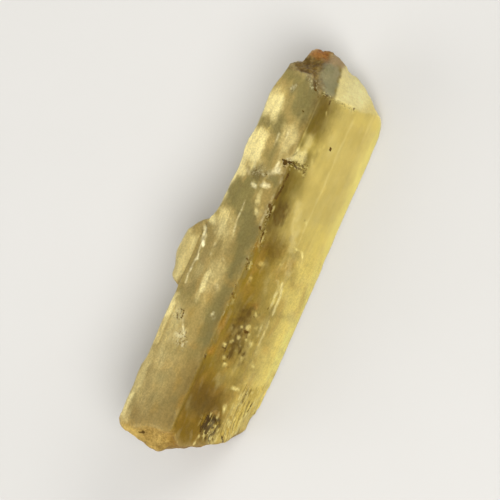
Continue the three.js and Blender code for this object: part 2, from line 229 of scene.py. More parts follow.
# edges and creases, where wear shows
bulge = np.abs(((smoothed(points, ends, 6) - points) * facing).sum(1))
edges = rise(bulge, 0.012, 0.045)
# a wider band along them is drawn lighter: worn edges, partly a painted highlight
worn_edges_and_highlight = np.clip(smoothed(edges, ends, 10) * 1.8, 0, 1)

# ---- textures that the zones share; the last number of each is its seed ----

jog_t = 0.26 * noise(points, 1.5, 41) + 0.14 * noise(points, 0.55, 42) + 0.05 * noise(points, 0.28, 45)
jog_s = 0.4 * noise(points, 1.8, 43) + 0.2 * noise(points, 0.7, 44) + 0.07 * noise(points, 0.3, 46)
mottle = layered(points, (2.4, 1.6, 1.6), 21)
fine_mottle = layered(points, (0.9, 0.6, 0.6), 27)
crumbs = layered(points, (0.42, 0.34, 0.34), 35)
drawn_out = noise(points, (7, 0.36, 0.36), 48) + 0.5 * noise(points, (4, 0.2, 0.2), 49)
cloudy = 0.55 * fine_mottle + 0.3 * drawn_out + 0.35 * crumbs
line_gaps = noise(points, (0.55, 0.4, 0.4), 47)

# ---- where the surface is broken ----

notch = rise(S, 17.4, 18.2) * (1 - rise(T + 0.12 * (S - 18), -0.75, -0.2)) * rise(tipward, 0.15, 0.4)
base = smoothed(rise(-tipward, 0.2, 0.6), ends, 14) * (1 - rise(S, -17.5, -13.5))
chips = front * rise(np.abs(tipward), 0.14, 0.3) * band(S, -17.0, 16.0, 0.5)
broken = np.clip(notch + base + chips, 0, 1)
broken = np.clip(smoothed(broken, ends, 3), 0, 1)

# ---- relief ----

long_face = 1 - rise(np.abs(tipward), 0.08, 0.25)
left_strip = front * (1 - rise(T, -3.2, -2.2))
right_strip = front * rise(T, 3.4, 4.4)
lines = noise(points, (16, 0.42, 0.42), 3) + 0.5 * noise(points, (9, 0.21, 0.21), 4)
line_height = 0.0012 + 0.006 * left_strip + 0.004 * right_strip + 0.016 * hidden
height = lines * line_height * long_face
waves = noise(points, (7, 1.9, 1.9), 5)
height += 0.012 * waves * long_face * (0.3 + 0.7 * hidden)
crags = np.abs(noise(points, 1.1, 6)) - 0.35 + 0.5 * np.abs(noise(points, 0.5, 7))
calm = 1 - 0.85 * base
height += broken * calm * (0.16 * crags + 0.05 * noise(points, 0.3, 8))
nicks = rise(noise(points, (0.7, 0.5, 0.5), 9), 0.15, 0.6)
height -= edges * (1 - resting) * (0.015 + 0.07 * nicks)
height += 0.004 * noise(points, 0.24, 10) * broken

rng = np.random.default_rng(5)
for _ in range(PIT_COUNT):
    pit = points[rng.integers(len(points))]
    size = rng.uniform(*PIT_SIZES)
    away = np.linalg.norm((points - pit) / PIT_SHAPE, axis=1) / size
    height -= PIT_DEPTH * size * np.clip(1 - away * away, 0, 1) * (1 - resting)

# the face that the crystal rests on stays flat
height *= 1 - resting
carved = points + facing * height[:, None]
carved[:, 2] = np.maximum(carved[:, 2], 0)
place_vertices(crystal_mesh, carved)
for polygon in crystal_mesh.polygons:
    polygon.use_smooth = True

# ---- how zones, lines and spots are drawn on the front ----


def blobs(rows):
    """Soft irregular spots: [t, s, half size in t, half size in s, strength]."""
    soft = 0.45
    total = np.zeros(len(points))
    for t, s, half_t, half_s, strength in rows:
        away = np.hypot((T + jog_t - t) / half_t, (S + jog_s - s) / half_s)
        total = np.maximum(total, strength * ((1 - rise(away, 1 - soft, 1 + soft)) * front))
    return total


def to_chain(chain, t, s):
    """Distance from the (t, s) places to a chain of straight pieces."""
    near = np.full(len(t), np.inf)
    for (t0, s0), (t1, s1) in zip(chain, chain[1:]):
        dt, ds = t1 - t0, s1 - s0
        along = np.clip(((t - t0) * dt + (s - s0) * ds) / (dt * dt + ds * ds), 0, 1)
        near = np.minimum(near, np.hypot(t - t0 - along * dt, s - s0 - along * ds))
    return near


def patch(corners, soft=0.22, waver=1.0):
    """A zone with a wavering, cloudy outline, 1 inside."""
    t, s = T + waver * jog_t, S + waver * jog_s
    loop = corners + corners[:1]
    inside = np.zeros(len(t), bool)
    for (t0, s0), (t1, s1) in zip(loop, loop[1:]):
        if s0 != s1:
            crosses = (s0 > s) != (s1 > s)
            inside ^= crosses & (t < t0 + (s - s0) * (t1 - t0) / (s1 - s0))
    near = to_chain(loop, t, s)
    depth = np.where(inside, near, -near) + 1.1 * soft * cloudy
    return rise(depth, -soft, 1.2 * soft) * front


def patches(rows):
    """Several zones: [strength, softness of the outline, corners...]."""
    total = np.zeros(len(points))
    for strength, soft, *corners in rows:
        total = np.maximum(total, strength * patch(corners, soft))
    return total


def streaks(rows, breaks=0.65):
    """Soft lines with gaps: [strength, half width, places...]."""
    total = np.zeros(len(points))
    for strength, half_width, *chain in rows:
        near = to_chain(chain, T + 0.2 * jog_t, S) / (half_width * (0.95 + 0.5 * line_gaps))
        line = strength * (1 - rise(near, 0.5, 1.6)) * (1 - breaks * rise(-line_gaps, -0.1, 0.4))
        total = np.maximum(total, line * front)
    return total


def bubbles(rows):
    """Small bright veils with a lit and a dark side: [t, s, size, lit side in degrees, strength]."""
    lit, unlit = np.zeros(len(points)), np.zeros(len(points))
    for t, s, size, side, strength in rows:
        dt, ds = T + 0.5 * jog_t - t, S + 0.4 * jog_s - s
        cosine, sine = math.cos(math.radians(side)), math.sin(math.radians(side))
        along = dt * cosine + ds * sine
        across = ds * cosine - dt * sine
        core = np.hypot((along - 0.3 * size) / (0.75 * size), across / size) + 0.5 * crumbs
        halo = np.hypot(dt, ds) / (2.2 * size) + 0.3 * fine_mottle
        glow_in = np.maximum(1 - rise(core, 0.2, 1.25), 0.12 * (1 - rise(halo, 0.3, 1.1)))
        lit = np.maximum(lit, strength * glow_in * front)
        shadow = np.hypot((along + 0.8 * size) / (0.55 * size), across / (1.2 * size)) + 0.35 * crumbs
        unlit = np.maximum(unlit, strength * (1 - rise(shadow, 0.5, 1.3)) * front)
    return lit, unlit


def worn(mask, texture, amount=0.35):
    """A mask with soft gaps where the texture is low."""
    return mask * (1 - amount * rise(-texture, -0.1, 0.6))


# ---- the zones of the front: [strength, softness, corners...] ----

# brighter and more golden: painted glow of light coming through the stone, mostly toward its right
# edge
GOLD_GLOW_CLOUDS = [
    (0.6, 0.6, (3.8, 17.2), (6.9, 17.5), (7.4, 15.4), (4.2, 15.6)),
    (0.5, 0.6, (0.3, 12.8), (2.2, 12.6), (2.4, 10.8), (0.3, 11)),
    (1, 0.9, (4.9, 4.8), (7.6, 5.2), (7.6, -2), (6.2, -1.8), (5.1, 0.4)),
    (0.6, 0.7, (4, 4.6), (5.4, 4.8), (5.6, 1.9), (4.4, 1.8)),
    (0.7, 0.5, (4.2, -1.6), (5.6, -1.4), (7.6, -1.6), (7.6, -4.2), (5.2, -4.4), (4.2, -3.8)),
    (0.9, 0.6, (5.9, -5.4), (7.6, -5.2), (7.6, -12.4), (6.2, -12)),
]

# smoky brown shadow inside the right face and at the notch
SMOKE_CLOUDS = [
    (0.35, 0.4, (-0.2, 19.4), (1.2, 19.2), (1.4, 17.4), (-0.2, 17.4)),
    (0.75, 0.3, (-1.7, 18.3), (-0.2, 18.4), (0.2, 17.2), (-0.7, 17), (-1.3, 17.5)),
    (0.7, 0.9, (0, 17.6), (1.7, 17.5), (1.5, 15.6), (0.9, 13.4), (0, 13.2)),
    (0.5, 0.9, (0.2, 17), (2.2, 16.9), (3, 15.8), (2.5, 14), (1.2, 12.7), (0.2, 13)),
    (0.3, 0.4, (0.3, 12.9), (1.2, 12.8), (1.2, 12), (0.3, 12)),
    (0.4, 0.5, (0.9, 10.2), (1.4, 11.1), (1.7, 10.2), (1.9, 8.6), (1, 8.8)),
    (0.4, 0.8, (0.4, 9), (1.9, 9.1), (2.2, 7.2), (1.6, 6.2), (0.4, 6.3)),
    (0.6, 0.25, (0, 8.8), (0.9, 8.8), (0.9, 3), (0, 3)),
    (0.5, 0.3, (-2.8, 7.7), (-1.3, 7.6), (-1.3, 6.9), (-2.6, 6.8)),
    (0.5, 0.9, (0.3, 6.4), (2, 6.6), (2.6, 4.8), (2.2, 2.6), (0.3, 2.2)),
    (0.9, 0.6, (0.5, 5.9), (1.6, 6.1), (2.2, 5.2), (2.1, 3.6), (1.3, 2.8), (0.5, 3.4)),
    (0.25, 0.5, (2.6, 6), (3.6, 5.8), (3.6, 4.4), (2.8, 4.2)),
    (0.8, 0.4, (0, 3.6), (1.2, 3.4), (1.6, 2.4), (0.1, 2.2)),
    (0.7, 0.7, (0.3, 3.4), (1.5, 3.5), (3, 2.2), (3.2, 0.8), (2.4, -0.2), (0.4, 0.2)),
    (0.22, 0.4, (2.6, 1.7), (4.6, 1.4), (5.4, 1.4), (5.4, 0.9), (4.6, 0.8), (2.6, 1.1)),
    (0.35, 0.6, (1, -3.2), (2.4, -3.1), (2.7, -4.9), (1.1, -4.9)),
    (0.24, 0.35, (3.2, -4.4), (7.3, -4.4), (7.3, -5), (5, -5.2), (3.2, -4.8)),
    (0.7, 1, (1, -4.8), (3, -4.8), (3.8, -7), (3.6, -10.6), (2.2, -11.4), (1, -9.8)),
    (1, 0.7, (1.8, -5.1), (2.7, -5.2), (3, -6.2), (2.6, -7.5), (1.7, -8.3), (1.2, -7.2), (1.3, -6)),
    (1, 0.5, (1.9, -5.3), (2.8, -5.4), (3, -7), (2.4, -8.2), (1.7, -7.6)),
    (0.35, 0.5, (0.1, -6.6), (1, -6.8), (1, -9.6), (0.1, -9.8)),
    (1, 0.5, (1.6, -7.6), (3.1, -7.5), (3.2, -9.6), (2, -9.8), (1.4, -8.8)),
    (0.9, 0.7, (1.8, -7.6), (3.4, -7.8), (3.7, -9.8), (2.9, -10.7), (2, -10.5), (1.4, -9)),
    (0.22, 0.3, (4.8, -7.7), (7.3, -7.8), (7.3, -8.2), (4.8, -8.1)),
    (0.22, 0.3, (5, -9.4), (7.3, -9.2), (7.3, -9.6), (5, -9.8)),
    (0.2, 0.6, (4.2, -10.4), (6.2, -11), (6.2, -11.8), (4.2, -11.2)),
    (0.35, 0.4, (2.2, -12.2), (3, -12.2), (3, -13.3), (2.2, -13.3)),
    (0.4, 0.5, (4.8, -12.6), (6.6, -12.2), (6.9, -13.8), (5.2, -14.4)),
    (0.5, 0.6, (0.2, -12.4), (1, -12.6), (1.1, -13.5), (0.2, -13.9)),
    (0.75, 0.9, (0, -13), (1.8, -13.6), (3.4, -13.9), (3.9, -15.2), (3.4, -16.6), (2, -17.4),
     (0.2, -17)),
    (0.3, 0.4, (0.5, -13.1), (1.4, -13.1), (1.3, -14.3), (0.5, -14.3)),
    (0.4, 0.3, (3, -18), (4.5, -17.8), (4.2, -19.4), (3.2, -19.2)),
]

# bright cream, where light comes up through the stone
PALE_CLOUDS = [
    (0.95, 0.55, (-4.2, 15.5), (-3.6, 15.9), (-3, 15.5), (-2.7, 14.3), (-2.9, 13), (-3.8, 12.6),
     (-5, 12.5), (-5, 15.2)),
    (0.48, 0.45, (-1.8, 13), (-1.2, 13.3), (-0.3, 12.7), (-0.4, 11.2), (-0.7, 9.9), (-1.1, 9.4),
     (-1.4, 10.4), (-1.7, 11.6)),
    (0.4, 0.4, (0.4, 12.9), (1.3, 13.1), (1.2, 11.5), (0.3, 11.2)),
    (0.92, 0.4, (-5, 11.4), (-3.6, 11.7), (-2.9, 11.7), (-3.2, 10.8), (-2.8, 10), (-2.7, 8.4),
     (-3.1, 7.6), (-5, 7.5)),
    (0.6, 0.2, (0, 9.8), (0.2, 11.3), (1, 11.4), (1.5, 10.2), (1.2, 9.8)),
    (0.85, 0.25, (-5, 8.8), (-3.9, 8.6), (-3.95, 6.2), (-4.4, 4.4), (-4.5, 2.8), (-4.3, 1), (-5, 1)),
    (0.65, 0.3, (-4.9, 7.4), (-3.5, 7.2), (-3.3, 6.8), (-4, 6.2), (-4.9, 5.7)),
    (0.6, 0.5, (-4.4, 2.6), (-3.2, 2.5), (-2.6, 2), (-2.6, 0.4), (-3.1, -0.4), (-3.9, 0),
     (-4.3, 1.4)),
    (0.42, 0.3, (-7.4, -0.4), (-5.9, -0.6), (-5.5, -1.6), (-5.45, -5.8), (-6.4, -6.4), (-7.4, -3)),
    (0.28, 0.5, (-2.6, -2), (-1.6, -1.9), (-1.1, -3.6), (-1.3, -5.6), (-2.4, -6.3), (-3.1, -5.6),
     (-3.2, -3.2)),
    (0.5, 0.2, (-7.4, -2.6), (-6.3, -2.6), (-5.6, -4.4), (-5.5, -6.2), (-6.4, -6.6), (-7.4, -4)),
    (0.3, 0.3, (-3.9, -3.2), (-3.4, -3.2), (-3.4, -4.4), (-3.9, -4.4)),
    (0.4, 0.35, (-3.1, -3.3), (-2.55, -3.3), (-2.45, -5), (-2.5, -6.6), (-2.9, -7), (-3.05, -5.4)),
    (0.85, 0.3, (-3.05, -3.6), (-2.5, -3.6), (-2.45, -4.4), (-2.9, -4.5)),
    (1, 0.3, (-3.05, -4.6), (-2.45, -4.5), (-2.4, -6), (-2.95, -6.2)),
    (0.85, 0.25, (-5.4, -7), (-4.7, -7), (-4.5, -9.4), (-5.4, -9.8)),
    (0.42, 0.8, (-4.8, -7.5), (-3.6, -7.6), (-3.2, -9.5), (-3.3, -14.2), (-4.6, -14.8)),
    (0.5, 0.25, (-5.4, -9), (-4.7, -9), (-4.5, -12.4), (-5.4, -12.8)),
    (0.42, 0.5, (-5.6, -12.4), (-4.6, -12.4), (-4.3, -16), (-4.4, -20.6), (-5.6, -20.8)),
    (0.18, 0.9, (-4.6, -12.5), (-2.4, -12.8), (-2.8, -18.6), (-4.4, -19.2)),
    (0.5, 0.4, (-4.1, -12.8), (-3.2, -12.8), (-3.2, -14.3), (-4, -14.4)),
    (0.9, 0.4, (-5.8, -17.4), (-4.7, -17.6), (-4.3, -20.6), (-5.8, -20.8)),
]

# cool grey green on the left face: milky haze, partly a painted grey reflection sheen
GREY_HAZE_AND_SHEEN_CLOUDS = [
    (0.95, 0.6, (-4.2, 18.4), (-0.4, 18), (0.1, 16.4), (0.1, 13.6), (-1.4, 14), (-2.2, 14.8),
     (-2.8, 16.4), (-4.2, 16.9)),
    (0.85, 0.45, (-5, 12.7), (-3.7, 13), (-3, 13.5), (-2.3, 14.1), (-1.7, 13.4), (-1.5, 9.8),
     (-1.3, 8.2), (-2, 8), (-2.1, 11.3), (-3.2, 12), (-5, 11.8)),
    (0.5, 0.4, (-2.6, 8.3), (-1.3, 8.3), (-1.2, 6.8), (-2.7, 6.8)),
    (1, 0.6, (-5, 6), (-3.6, 6.6), (-2.8, 7.8), (-0.2, 7.9), (-0.1, 6.8), (-1.4, 6.9), (-1.6, 5.8),
     (-1.6, 4.6), (-1.1, 3.8), (-0.5, 2.9), (0.1, 2.8), (0.1, -4), (-1.2, -3.4), (-1.7, -0.4),
     (-2.2, 1.6), (-3.1, 2.6), (-4, 2.9), (-5, 3.4)),
    (0.35, 0.4, (-5.2, 1.4), (-4.6, 1.6), (-4.1, 1), (-3.7, -0.4), (-3.5, -3), (-3.5, -6.6),
     (-4.2, -7.6), (-5.1, -6.5), (-5.1, 0)),
    (0.85, 0.5, (-1.1, -4.2), (0.1, -4.2), (0.1, -10.6), (-1, -10.2), (-1.6, -7.6)),
    (0.35, 0.4, (-4.1, -6.8), (-2.7, -6.8), (-2.8, -7.8), (-4, -7.8)),
]

# chipped skin along the edges and cracks
CHIPPED_ZONES = [
    (0.8, 0.2, (-1.8, 17.9), (-1.4, 17.1), (-0.6, 16.9), (-0.5, 17.6), (-1.1, 18)),
    (0.9, 0.22, (0.1, 16.6), (3.9, 16.6), (3.9, 17.2), (0.2, 17.25)),
    (0.6, 0.25, (-3, 17), (-2.2, 16.9), (-2.3, 16), (-2.9, 16)),
    (0.4, 0.25, (-0.1, 9.6), (0.2, 11.2), (1.2, 11), (2, 9.7)),
    (0.9, 0.2, (-0.7, 9.6), (0.2, 9.8), (1.9, 9.9), (1.9, 9), (-0.2, 9)),
    (0.6, 0.3, (-2.9, 8), (-1, 8), (-0.9, 7.2), (-2.9, 7)),
    (0.6, 0.2, (-0.1, 5.1), (0.4, 5), (0.4, 3.6), (-0.1, 3.6)),
    (0.6, 0.25, (0.1, 2.8), (0.9, 2.4), (1, 0.2), (0.3, 0.6)),
    (0.6, 0.2, (0, -0.6), (0.9, -1), (0.7, -1.9), (0, -1.9)),
    (0.5, 0.2, (0, -4.4), (0.7, -4.7), (0.6, -5.6), (0, -5.4)),
    (0.7, 0.3, (-4.4, -7.9), (-3.3, -7.9), (-3.2, -9.2), (-4.3, -9.3)),
    (0.7, 0.3, (-3.6, -10), (-2, -10.6), (-2, -12), (-3.6, -11.6)),
]

# white flaws, and painted glints on the flutes low on the right
VEIL_AND_GLINT_ZONES = [
    (0.35, 0.16, (0, 9.7), (0.4, 11.1), (1, 11), (1.4, 9.7)),
    (0.6, 0.2, (-0.95, 9.4), (-0.5, 9), (-0.2, 8.2), (-0.6, 7.85), (-1.2, 7.85), (-1.05, 8.6)),
    (0.8, 0.1, (4.05, -15.55), (4.4, -15.6), (4.45, -16.1), (4.05, -16.1)),
    (0.6, 0.1, (4.95, -16.1), (5.2, -16.2), (5.25, -16.7), (5, -16.6)),
]

# the two pyramid faces: the slate one painted in shade, the cream one painted in light
SHADED_SLATE_FACE = [
    (-1.1, 20.1), (-0.5, 20.5), (0.6, 20.4), (1.05, 19.9), (1.3, 18.7), (1.55, 17.15), (0.4, 17.2),
    (-0.5, 17.6), (-0.9, 18.6),
]
LIT_CREAM_FACE = [
    (1, 20.6), (1.1, 19.9), (1.3, 18.7), (1.55, 17.1), (4.2, 17.1), (6.9, 17.6), (5.4, 19.2),
    (2.9, 20.9), (1.5, 21),
]
# parts of the lit cream face
SUNLIT_PART = [(2.4, 17.6), (4.8, 17.5), (5, 18.8), (3.2, 20), (2.4, 19.6)]
TAWNY_PART = [(4.2, 17.2), (6.6, 17.6), (5.6, 18.6), (4.9, 18.1)]
# the brown fringe of the notch
NOTCH_FRINGE = [(-1.4, 18.4), (-0.7, 18.7), (0.3, 17.6), (0.1, 16.9), (-0.6, 17)]
# the stone round the cluster of bubbles
BUBBLE_ZONE = [(1.3, -5), (3.2, -5), (4.1, -7), (4, -10.4), (2.6, -11.6), (1.2, -10.6)]
# the crushed spot low on the right, and the fluted zone round it
CRACKED_ZONE = [
    (2.4, -16.9), (3, -16.4), (3.9, -16.7), (4.5, -17.2), (4.6, -18.3), (4.3, -19.4), (3.4, -19.2),
    (2.6, -18.4), (2.3, -17.6),
]
FLUTED_ZONE = [(4.6, -12.6), (7.5, -11.6), (7.4, -17), (5.6, -19.4), (4.4, -19), (4.7, -15)]
# the upper edge of the tan base
FOOT_LINE = [
    (-5.2, -20.2), (-4.9, -20.6), (-2.4, -20.5), (-1.2, -20.3), (0.2, -20.1), (1.2, -20.6),
    (2.2, -21.3),
]

# ---- its lines: [strength, half width, places...] ----

# bright lines: painted light along the ribs and rods of the stone
PALE_LINES = [
    (0.25, 0.08, (4.1, 16), (4.12, -0.6)),
    (0.45, 0.16, (-4.55, 15.4), (-4.6, 8)),
    (0.3, 0.4, (2.6, 6), (3.6, 2.6), (4.4, -0.4)),
    (0.6, 0.2, (-1.45, 5.9), (-1.35, 4.8), (-1.05, 4), (-0.75, 3.5)),
    (0.6, 0.12, (3.7, -1.7), (4.1, -2.2), (4.2, -4.6)),
    (0.65, 0.12, (4.25, -1.8), (4.6, -2.8), (4.72, -5)),
    (0.45, 0.1, (4.62, -5.8), (4.66, -7.6), (4.7, -9.2)),
    (0.4, 0.1, (4.6, -5.8), (4.7, -9.2)),
    (0.4, 0.1, (4.15, -6.2), (4.2, -7.6)),
]

# white scratches and flaws, and painted glints on the flutes low on the right
VEIL_AND_GLINT_LINES = [
    (0.5, 0.08, (2.1, 16.2), (2.25, 16)),
    (0.6, 0.07, (1.35, 15.6), (1.5, 15.2)),
    (0.6, 0.07, (-1.3, 12.6), (-1.2, 11.4)),
    (0.3, 0.08, (2.5, 12.3), (2.1, 11.6), (2, 10.6), (2.2, 9.9)),
    (0.6, 0.07, (-2.1, 11.7), (-2, 10.4)),
    (0.6, 0.08, (0.3, 10.9), (0.25, 9.8)),
    (0.6, 0.08, (0.75, 10.9), (0.8, 9.8)),
    (0.6, 0.08, (1.05, 10.4), (1.3, 9.8)),
    (0.75, 0.07, (-0.85, 9.2), (-1.1, 8.1)),
    (0.6, 0.07, (1.2, 9.15), (1.6, 9.2)),
    (0.75, 0.06, (-0.55, 8.9), (-0.6, 8)),
    (0.3, 0.09, (0.05, 8.4), (0, 7.2)),
    (0.5, 0.06, (-1.5, 7.75), (-1.25, 7.4)),
    (0.4, 0.06, (-2.4, 7.55), (-2.15, 7.2)),
    (0.25, 0.09, (0, 6.2), (-0.05, 5.2)),
    (0.45, 0.07, (0.45, 4.9), (0.5, 4.4)),
    (0.55, 0.06, (-2.45, 4.3), (-2.4, 3.2)),
    (0.3, 0.09, (-0.12, 4.2), (-0.1, 2.6)),
    (0.45, 0.06, (-2.4, 3), (-2.4, 2.2), (-2.2, 0.6)),
    (0.45, 0.07, (0.45, 2.5), (0.6, 2.3)),
    (0.8, 0.1, (4.5, 2), (4.85, 1.8), (5.2, 1.2)),
    (0.6, 0.16, (4.1, 1.95), (4.6, 1.9)),
    (0.6, 0.07, (0.7, 1.7), (0.72, 1)),
    (0.6, 0.1, (0.5, 1.2), (0.85, 0.3)),
    (0.7, 0.14, (-5, 0.3), (-4.8, -0.4)),
    (1, 0.2, (-4.75, -0.4), (-4.6, -1), (-4.55, -1.5)),
    (0.7, 0.1, (0.5, -0.9), (0.6, -1.7)),
    (0.9, 0.1, (-4.65, -1.5), (-4.55, -2.7), (-4.65, -3.6), (-4.55, -5.6)),
    (0.8, 0.13, (-4.6, -2.6), (-4.5, -2.9)),
    (0.6, 0.1, (0.4, -5.1), (0.5, -5.6)),
    (0.6, 0.08, (-3.3, -9), (-2.9, -9.8), (-2.5, -10.6)),
    (0.7, 0.07, (4.6, -9.8), (5.1, -10.6)),
    (0.55, 0.07, (5.2, -13), (5.15, -15.9)),
    (0.5, 0.08, (5.7, -13.3), (5.7, -14.2)),
    (0.6, 0.08, (6.15, -14.6), (6.1, -16.3)),
    (0.6, 0.1, (4.85, -14.9), (4.9, -15.7)),
    (0.6, 0.08, (5.6, -16.4), (5.75, -17.2)),
    (0.6, 0.12, (4.9, -16.4), (5.2, -16.9)),
    (0.6, 0.1, (3.3, -17), (3.35, -17.5)),
    (0.7, 0.09, (5.05, -17.4), (5.4, -18.1)),
    (0.5, 0.1, (3.9, -17.4), (3.85, -17.9)),
    (0.7, 0.1, (3.2, -18.2), (3.3, -18.8)),
    (0.7, 0.12, (4.7, -18.2), (4.4, -19.2)),
    (0.8, 0.1, (2.9, -18.9), (2.75, -19.9)),
]

# dark cracks, partly painted shade in the notches and the crushed pit
DARK_LINES = [
    (0.75, 0.14, (-3.9, 18.2), (-3.2, 18.35), (-2.4, 18.4), (-1.7, 18.3)),
    (0.9, 0.14, (-1.7, 18.15), (-1.2, 17.9), (-0.8, 17.5), (-0.6, 17.1)),
    (0.6, 0.12, (-0.6, 17.2), (-0.1, 16.9), (0.1, 16.4)),
    (0.7, 0.09, (0.3, 17), (1.2, 17.05), (2, 16.95), (2.6, 17), (3.4, 16.85), (3.8, 17.1)),
    (0.6, 0.08, (3.4, 17), (3.6, 16.7), (3.8, 16.9)),
    (0.4, 0.08, (0.12, 17), (0.15, 11.2)),
    (0.8, 0.09, (1.25, 16.7), (1.35, 16.3)),
    (0.5, 0.08, (-2.5, 15.8), (-2.7, 16.7)),
    (0.9, 0.1, (-0.85, 14.7), (-0.75, 14.6)),
    (1, 0.12, (3.16, 12.5), (3.24, 12.35)),
    (1, 0.14, (-0.6, 9.5), (0.2, 9.52), (0.75, 9.4)),
    (1, 0.22, (-0.48, 9.42), (-0.3, 9.25)),
    (0.8, 0.1, (0.8, 9.35), (1.2, 9.3), (1.5, 9.4), (1.8, 9.1)),
    (1, 0.12, (0.44, 8.4), (0.38, 7.4), (0.38, 6.6), (0.28, 5.6)),
    (0.45, 0.07, (0.1, 8), (0.1, 7), (0.05, 6)),
    (0.6, 0.08, (-2.2, 7.7), (-1.9, 7.3)),
    (0.65, 0.08, (-2.7, 7.6), (-2.4, 7.2)),
    (0.65, 0.08, (-1.7, 7.6), (-1.4, 7.3)),
    (0.6, 0.08, (-2.95, 7.1), (-2.6, 6.7)),
    (0.55, 0.08, (-2.1, 6.9), (-1.8, 6.7)),
    (1, 0.14, (-0.05, 4.9), (0.25, 4.6), (0.15, 4.4)),
    (0.6, 0.09, (0.25, 4.4), (0.2, 3.4)),
    (0.8, 0.1, (0.35, 4.2), (0.4, 3.7)),
    (0.9, 0.12, (0.4, 2.95), (0.45, 2.5)),
    (1, 0.13, (0, 2.45), (0.3, 2.2)),
    (0.8, 0.09, (0.5, 2.2), (0.55, 1.2), (0.85, 0.6)),
    (1, 0.14, (0.1, -0.9), (0.42, -1.2), (0.2, -1.5), (0.4, -1.8)),
    (0.5, 0.07, (4, -2.2), (3.98, -3.2), (4.02, -4.4)),
    (0.6, 0.08, (1.2, -2.9), (1.7, -3.1)),
    (0.35, 0.07, (4.45, -3.4), (4.5, -4.7)),
    (0.9, 0.1, (0.1, -3.8), (0.15, -4.1)),
    (0.6, 0.1, (1.6, -4.4), (2.3, -4.5)),
    (0.7, 0.12, (4.05, -4.45), (4.02, -4.65)),
    (1, 0.13, (0.1, -4.6), (0.4, -4.9), (0.15, -5.2)),
    (0.7, 0.07, (-4, -8.1), (-3.5, -8.05), (-3.45, -8.9), (-3.9, -9.1), (-4.05, -8.3)),
    (0.6, 0.07, (-3.75, -8.2), (-3.75, -8.95)),
    (0.7, 0.08, (-2.6, -9.9), (-2.35, -10.4)),
    (0.8, 0.12, (0.2, -11.3), (0.25, -11.7)),
    (0.65, 0.08, (5.55, -12.9), (5.45, -14.4)),
    (0.7, 0.09, (6.45, -13.9), (6.3, -14.9)),
    (0.6, 0.08, (5.25, -14.6), (5.35, -16.2)),
    (0.45, 0.08, (5.9, -14.8), (6, -15.9)),
    (0.9, 0.1, (2.8, -16.7), (3.15, -17)),
    (0.9, 0.12, (3.7, -16.8), (3.62, -17.5)),
    (1, 0.16, (3, -17.2), (3.15, -18.1)),
    (0.8, 0.1, (2.35, -17.35), (2.75, -17.45)),
    (0.9, 0.14, (4.25, -17.5), (4.15, -18.2)),
    (1, 0.16, (3.5, -17.6), (3.35, -18.4)),
    (0.8, 0.1, (2.7, -18), (2.85, -18.6)),
    (0.8, 0.1, (5, -18.1), (5.3, -18.6)),
    (0.5, 0.12, (-2.2, -20.8), (-1.6, -20.6)),
    (1, 0.16, (-2.65, -20.92), (-2.3, -20.82)),
]

# ---- its spots: [t, s, half size in t, half size in s, strength] ----

# white flecks and painted glints
VEIL_AND_GLINT_SPOTS = [
    (-2.6, 16.4, 0.14, 0.22, 0.8),
    (-3.4, 7.1, 0.4, 0.16, 0.5),
    (-1.2, 6.45, 0.5, 0.22, 0.8),
    (-2.3, 6.1, 0.24, 0.24, 0.75),
    (-0.85, -7.5, 0.15, 0.15, 0.8),
    (-0.5, -7.8, 0.12, 0.1, 0.35),
    (-2.9, -10.2, 0.25, 0.3, 0.35),
    (-3.1, -10.9, 0.5, 0.25, 0.6),
    (4.35, -13.4, 0.36, 0.12, 0.9),
    (4.3, -15.7, 0.24, 0.5, 0.6),
]

RUST_SPOTS = [
    (0.45, 0.9, 0.25, 0.8, 0.4),
    (2.6, -4.9, 0.5, 0.25, 0.3),
    (0.55, -7.9, 0.35, 0.8, 0.35),
    (0.55, -10.5, 0.35, 0.6, 0.6),
    (-1.3, -10.8, 0.5, 0.4, 0.2),
    (3.5, -16.4, 0.45, 0.35, 0.35),
]

# ---- and its bubbles: [t, s, size, lit side in degrees, strength] ----

BUBBLES = [
    (3.9, 4.8, 0.2, -30, 0.5),
    (3.3, -0.1, 0.26, 0, 0.35),
    (1.55, -0.9, 0.36, 80, 0.55),
    (-3.4, -0.95, 0.16, 120, 0.6),
    (-3.5, -1.9, 0.14, 60, 0.4),
    (-2, -1.9, 0.16, 60, 0.35),
    (1.2, -2.6, 0.24, 70, 0.35),
    (-1.6, -4.7, 0.3, 60, 0.3),
    (3.1, -5.7, 0.22, 60, 0.8),
    (3.75, -6.9, 0.26, 60, 0.4),
    (2.95, -7.2, 0.38, 90, 1),
    (2.3, -7.3, 0.2, 120, 0.7),
    (3.3, -7.7, 0.2, -30, 0.8),
    (1.45, -7.7, 0.16, 30, 0.35),
    (3.3, -8.2, 0.2, -60, 0.7),
    (1.75, -8.2, 0.14, 100, 0.5),
    (2.45, -8.4, 0.28, 130, 0.6),
    (3.9, -8.6, 0.36, 30, 0.6),
    (2.75, -8.7, 0.12, 60, 0.5),
    (2.1, -8.8, 0.22, 200, 0.6),
    (1.9, -9.1, 0.18, 60, 0.6),
    (3, -9.1, 0.14, 100, 0.45),
    (2.5, -9.5, 0.14, 20, 0.4),
    (1.55, -9.65, 0.28, 100, 0.8),
    (2.9, -9.8, 0.2, 120, 0.35),
    (2.2, -9.9, 0.12, 160, 0.5),
    (3.5, -10.3, 0.24, 40, 0.35),
    (4.9, -10.6, 0.3, 120, 0.3),
    (2.05, -10.7, 0.26, 200, 0.8),
    (2.35, -11.3, 0.28, -70, 0.75),
    (-2.3, -11.3, 0.22, 180, 0.4),
    (5.3, -16.1, 0.3, 20, 0.5),
]

# ---- what the stone shows: soft fields over the surface ----

upper = rise(S + 0.5 * mottle, 0.6, 4.0)
lower = 1 - upper
left = front * (1 - rise(T, -0.05, 0.2))
right = front * rise(T, -0.6, -0.1)
wavy_t = T + 0.45 * mottle + 0.25 * fine_mottle
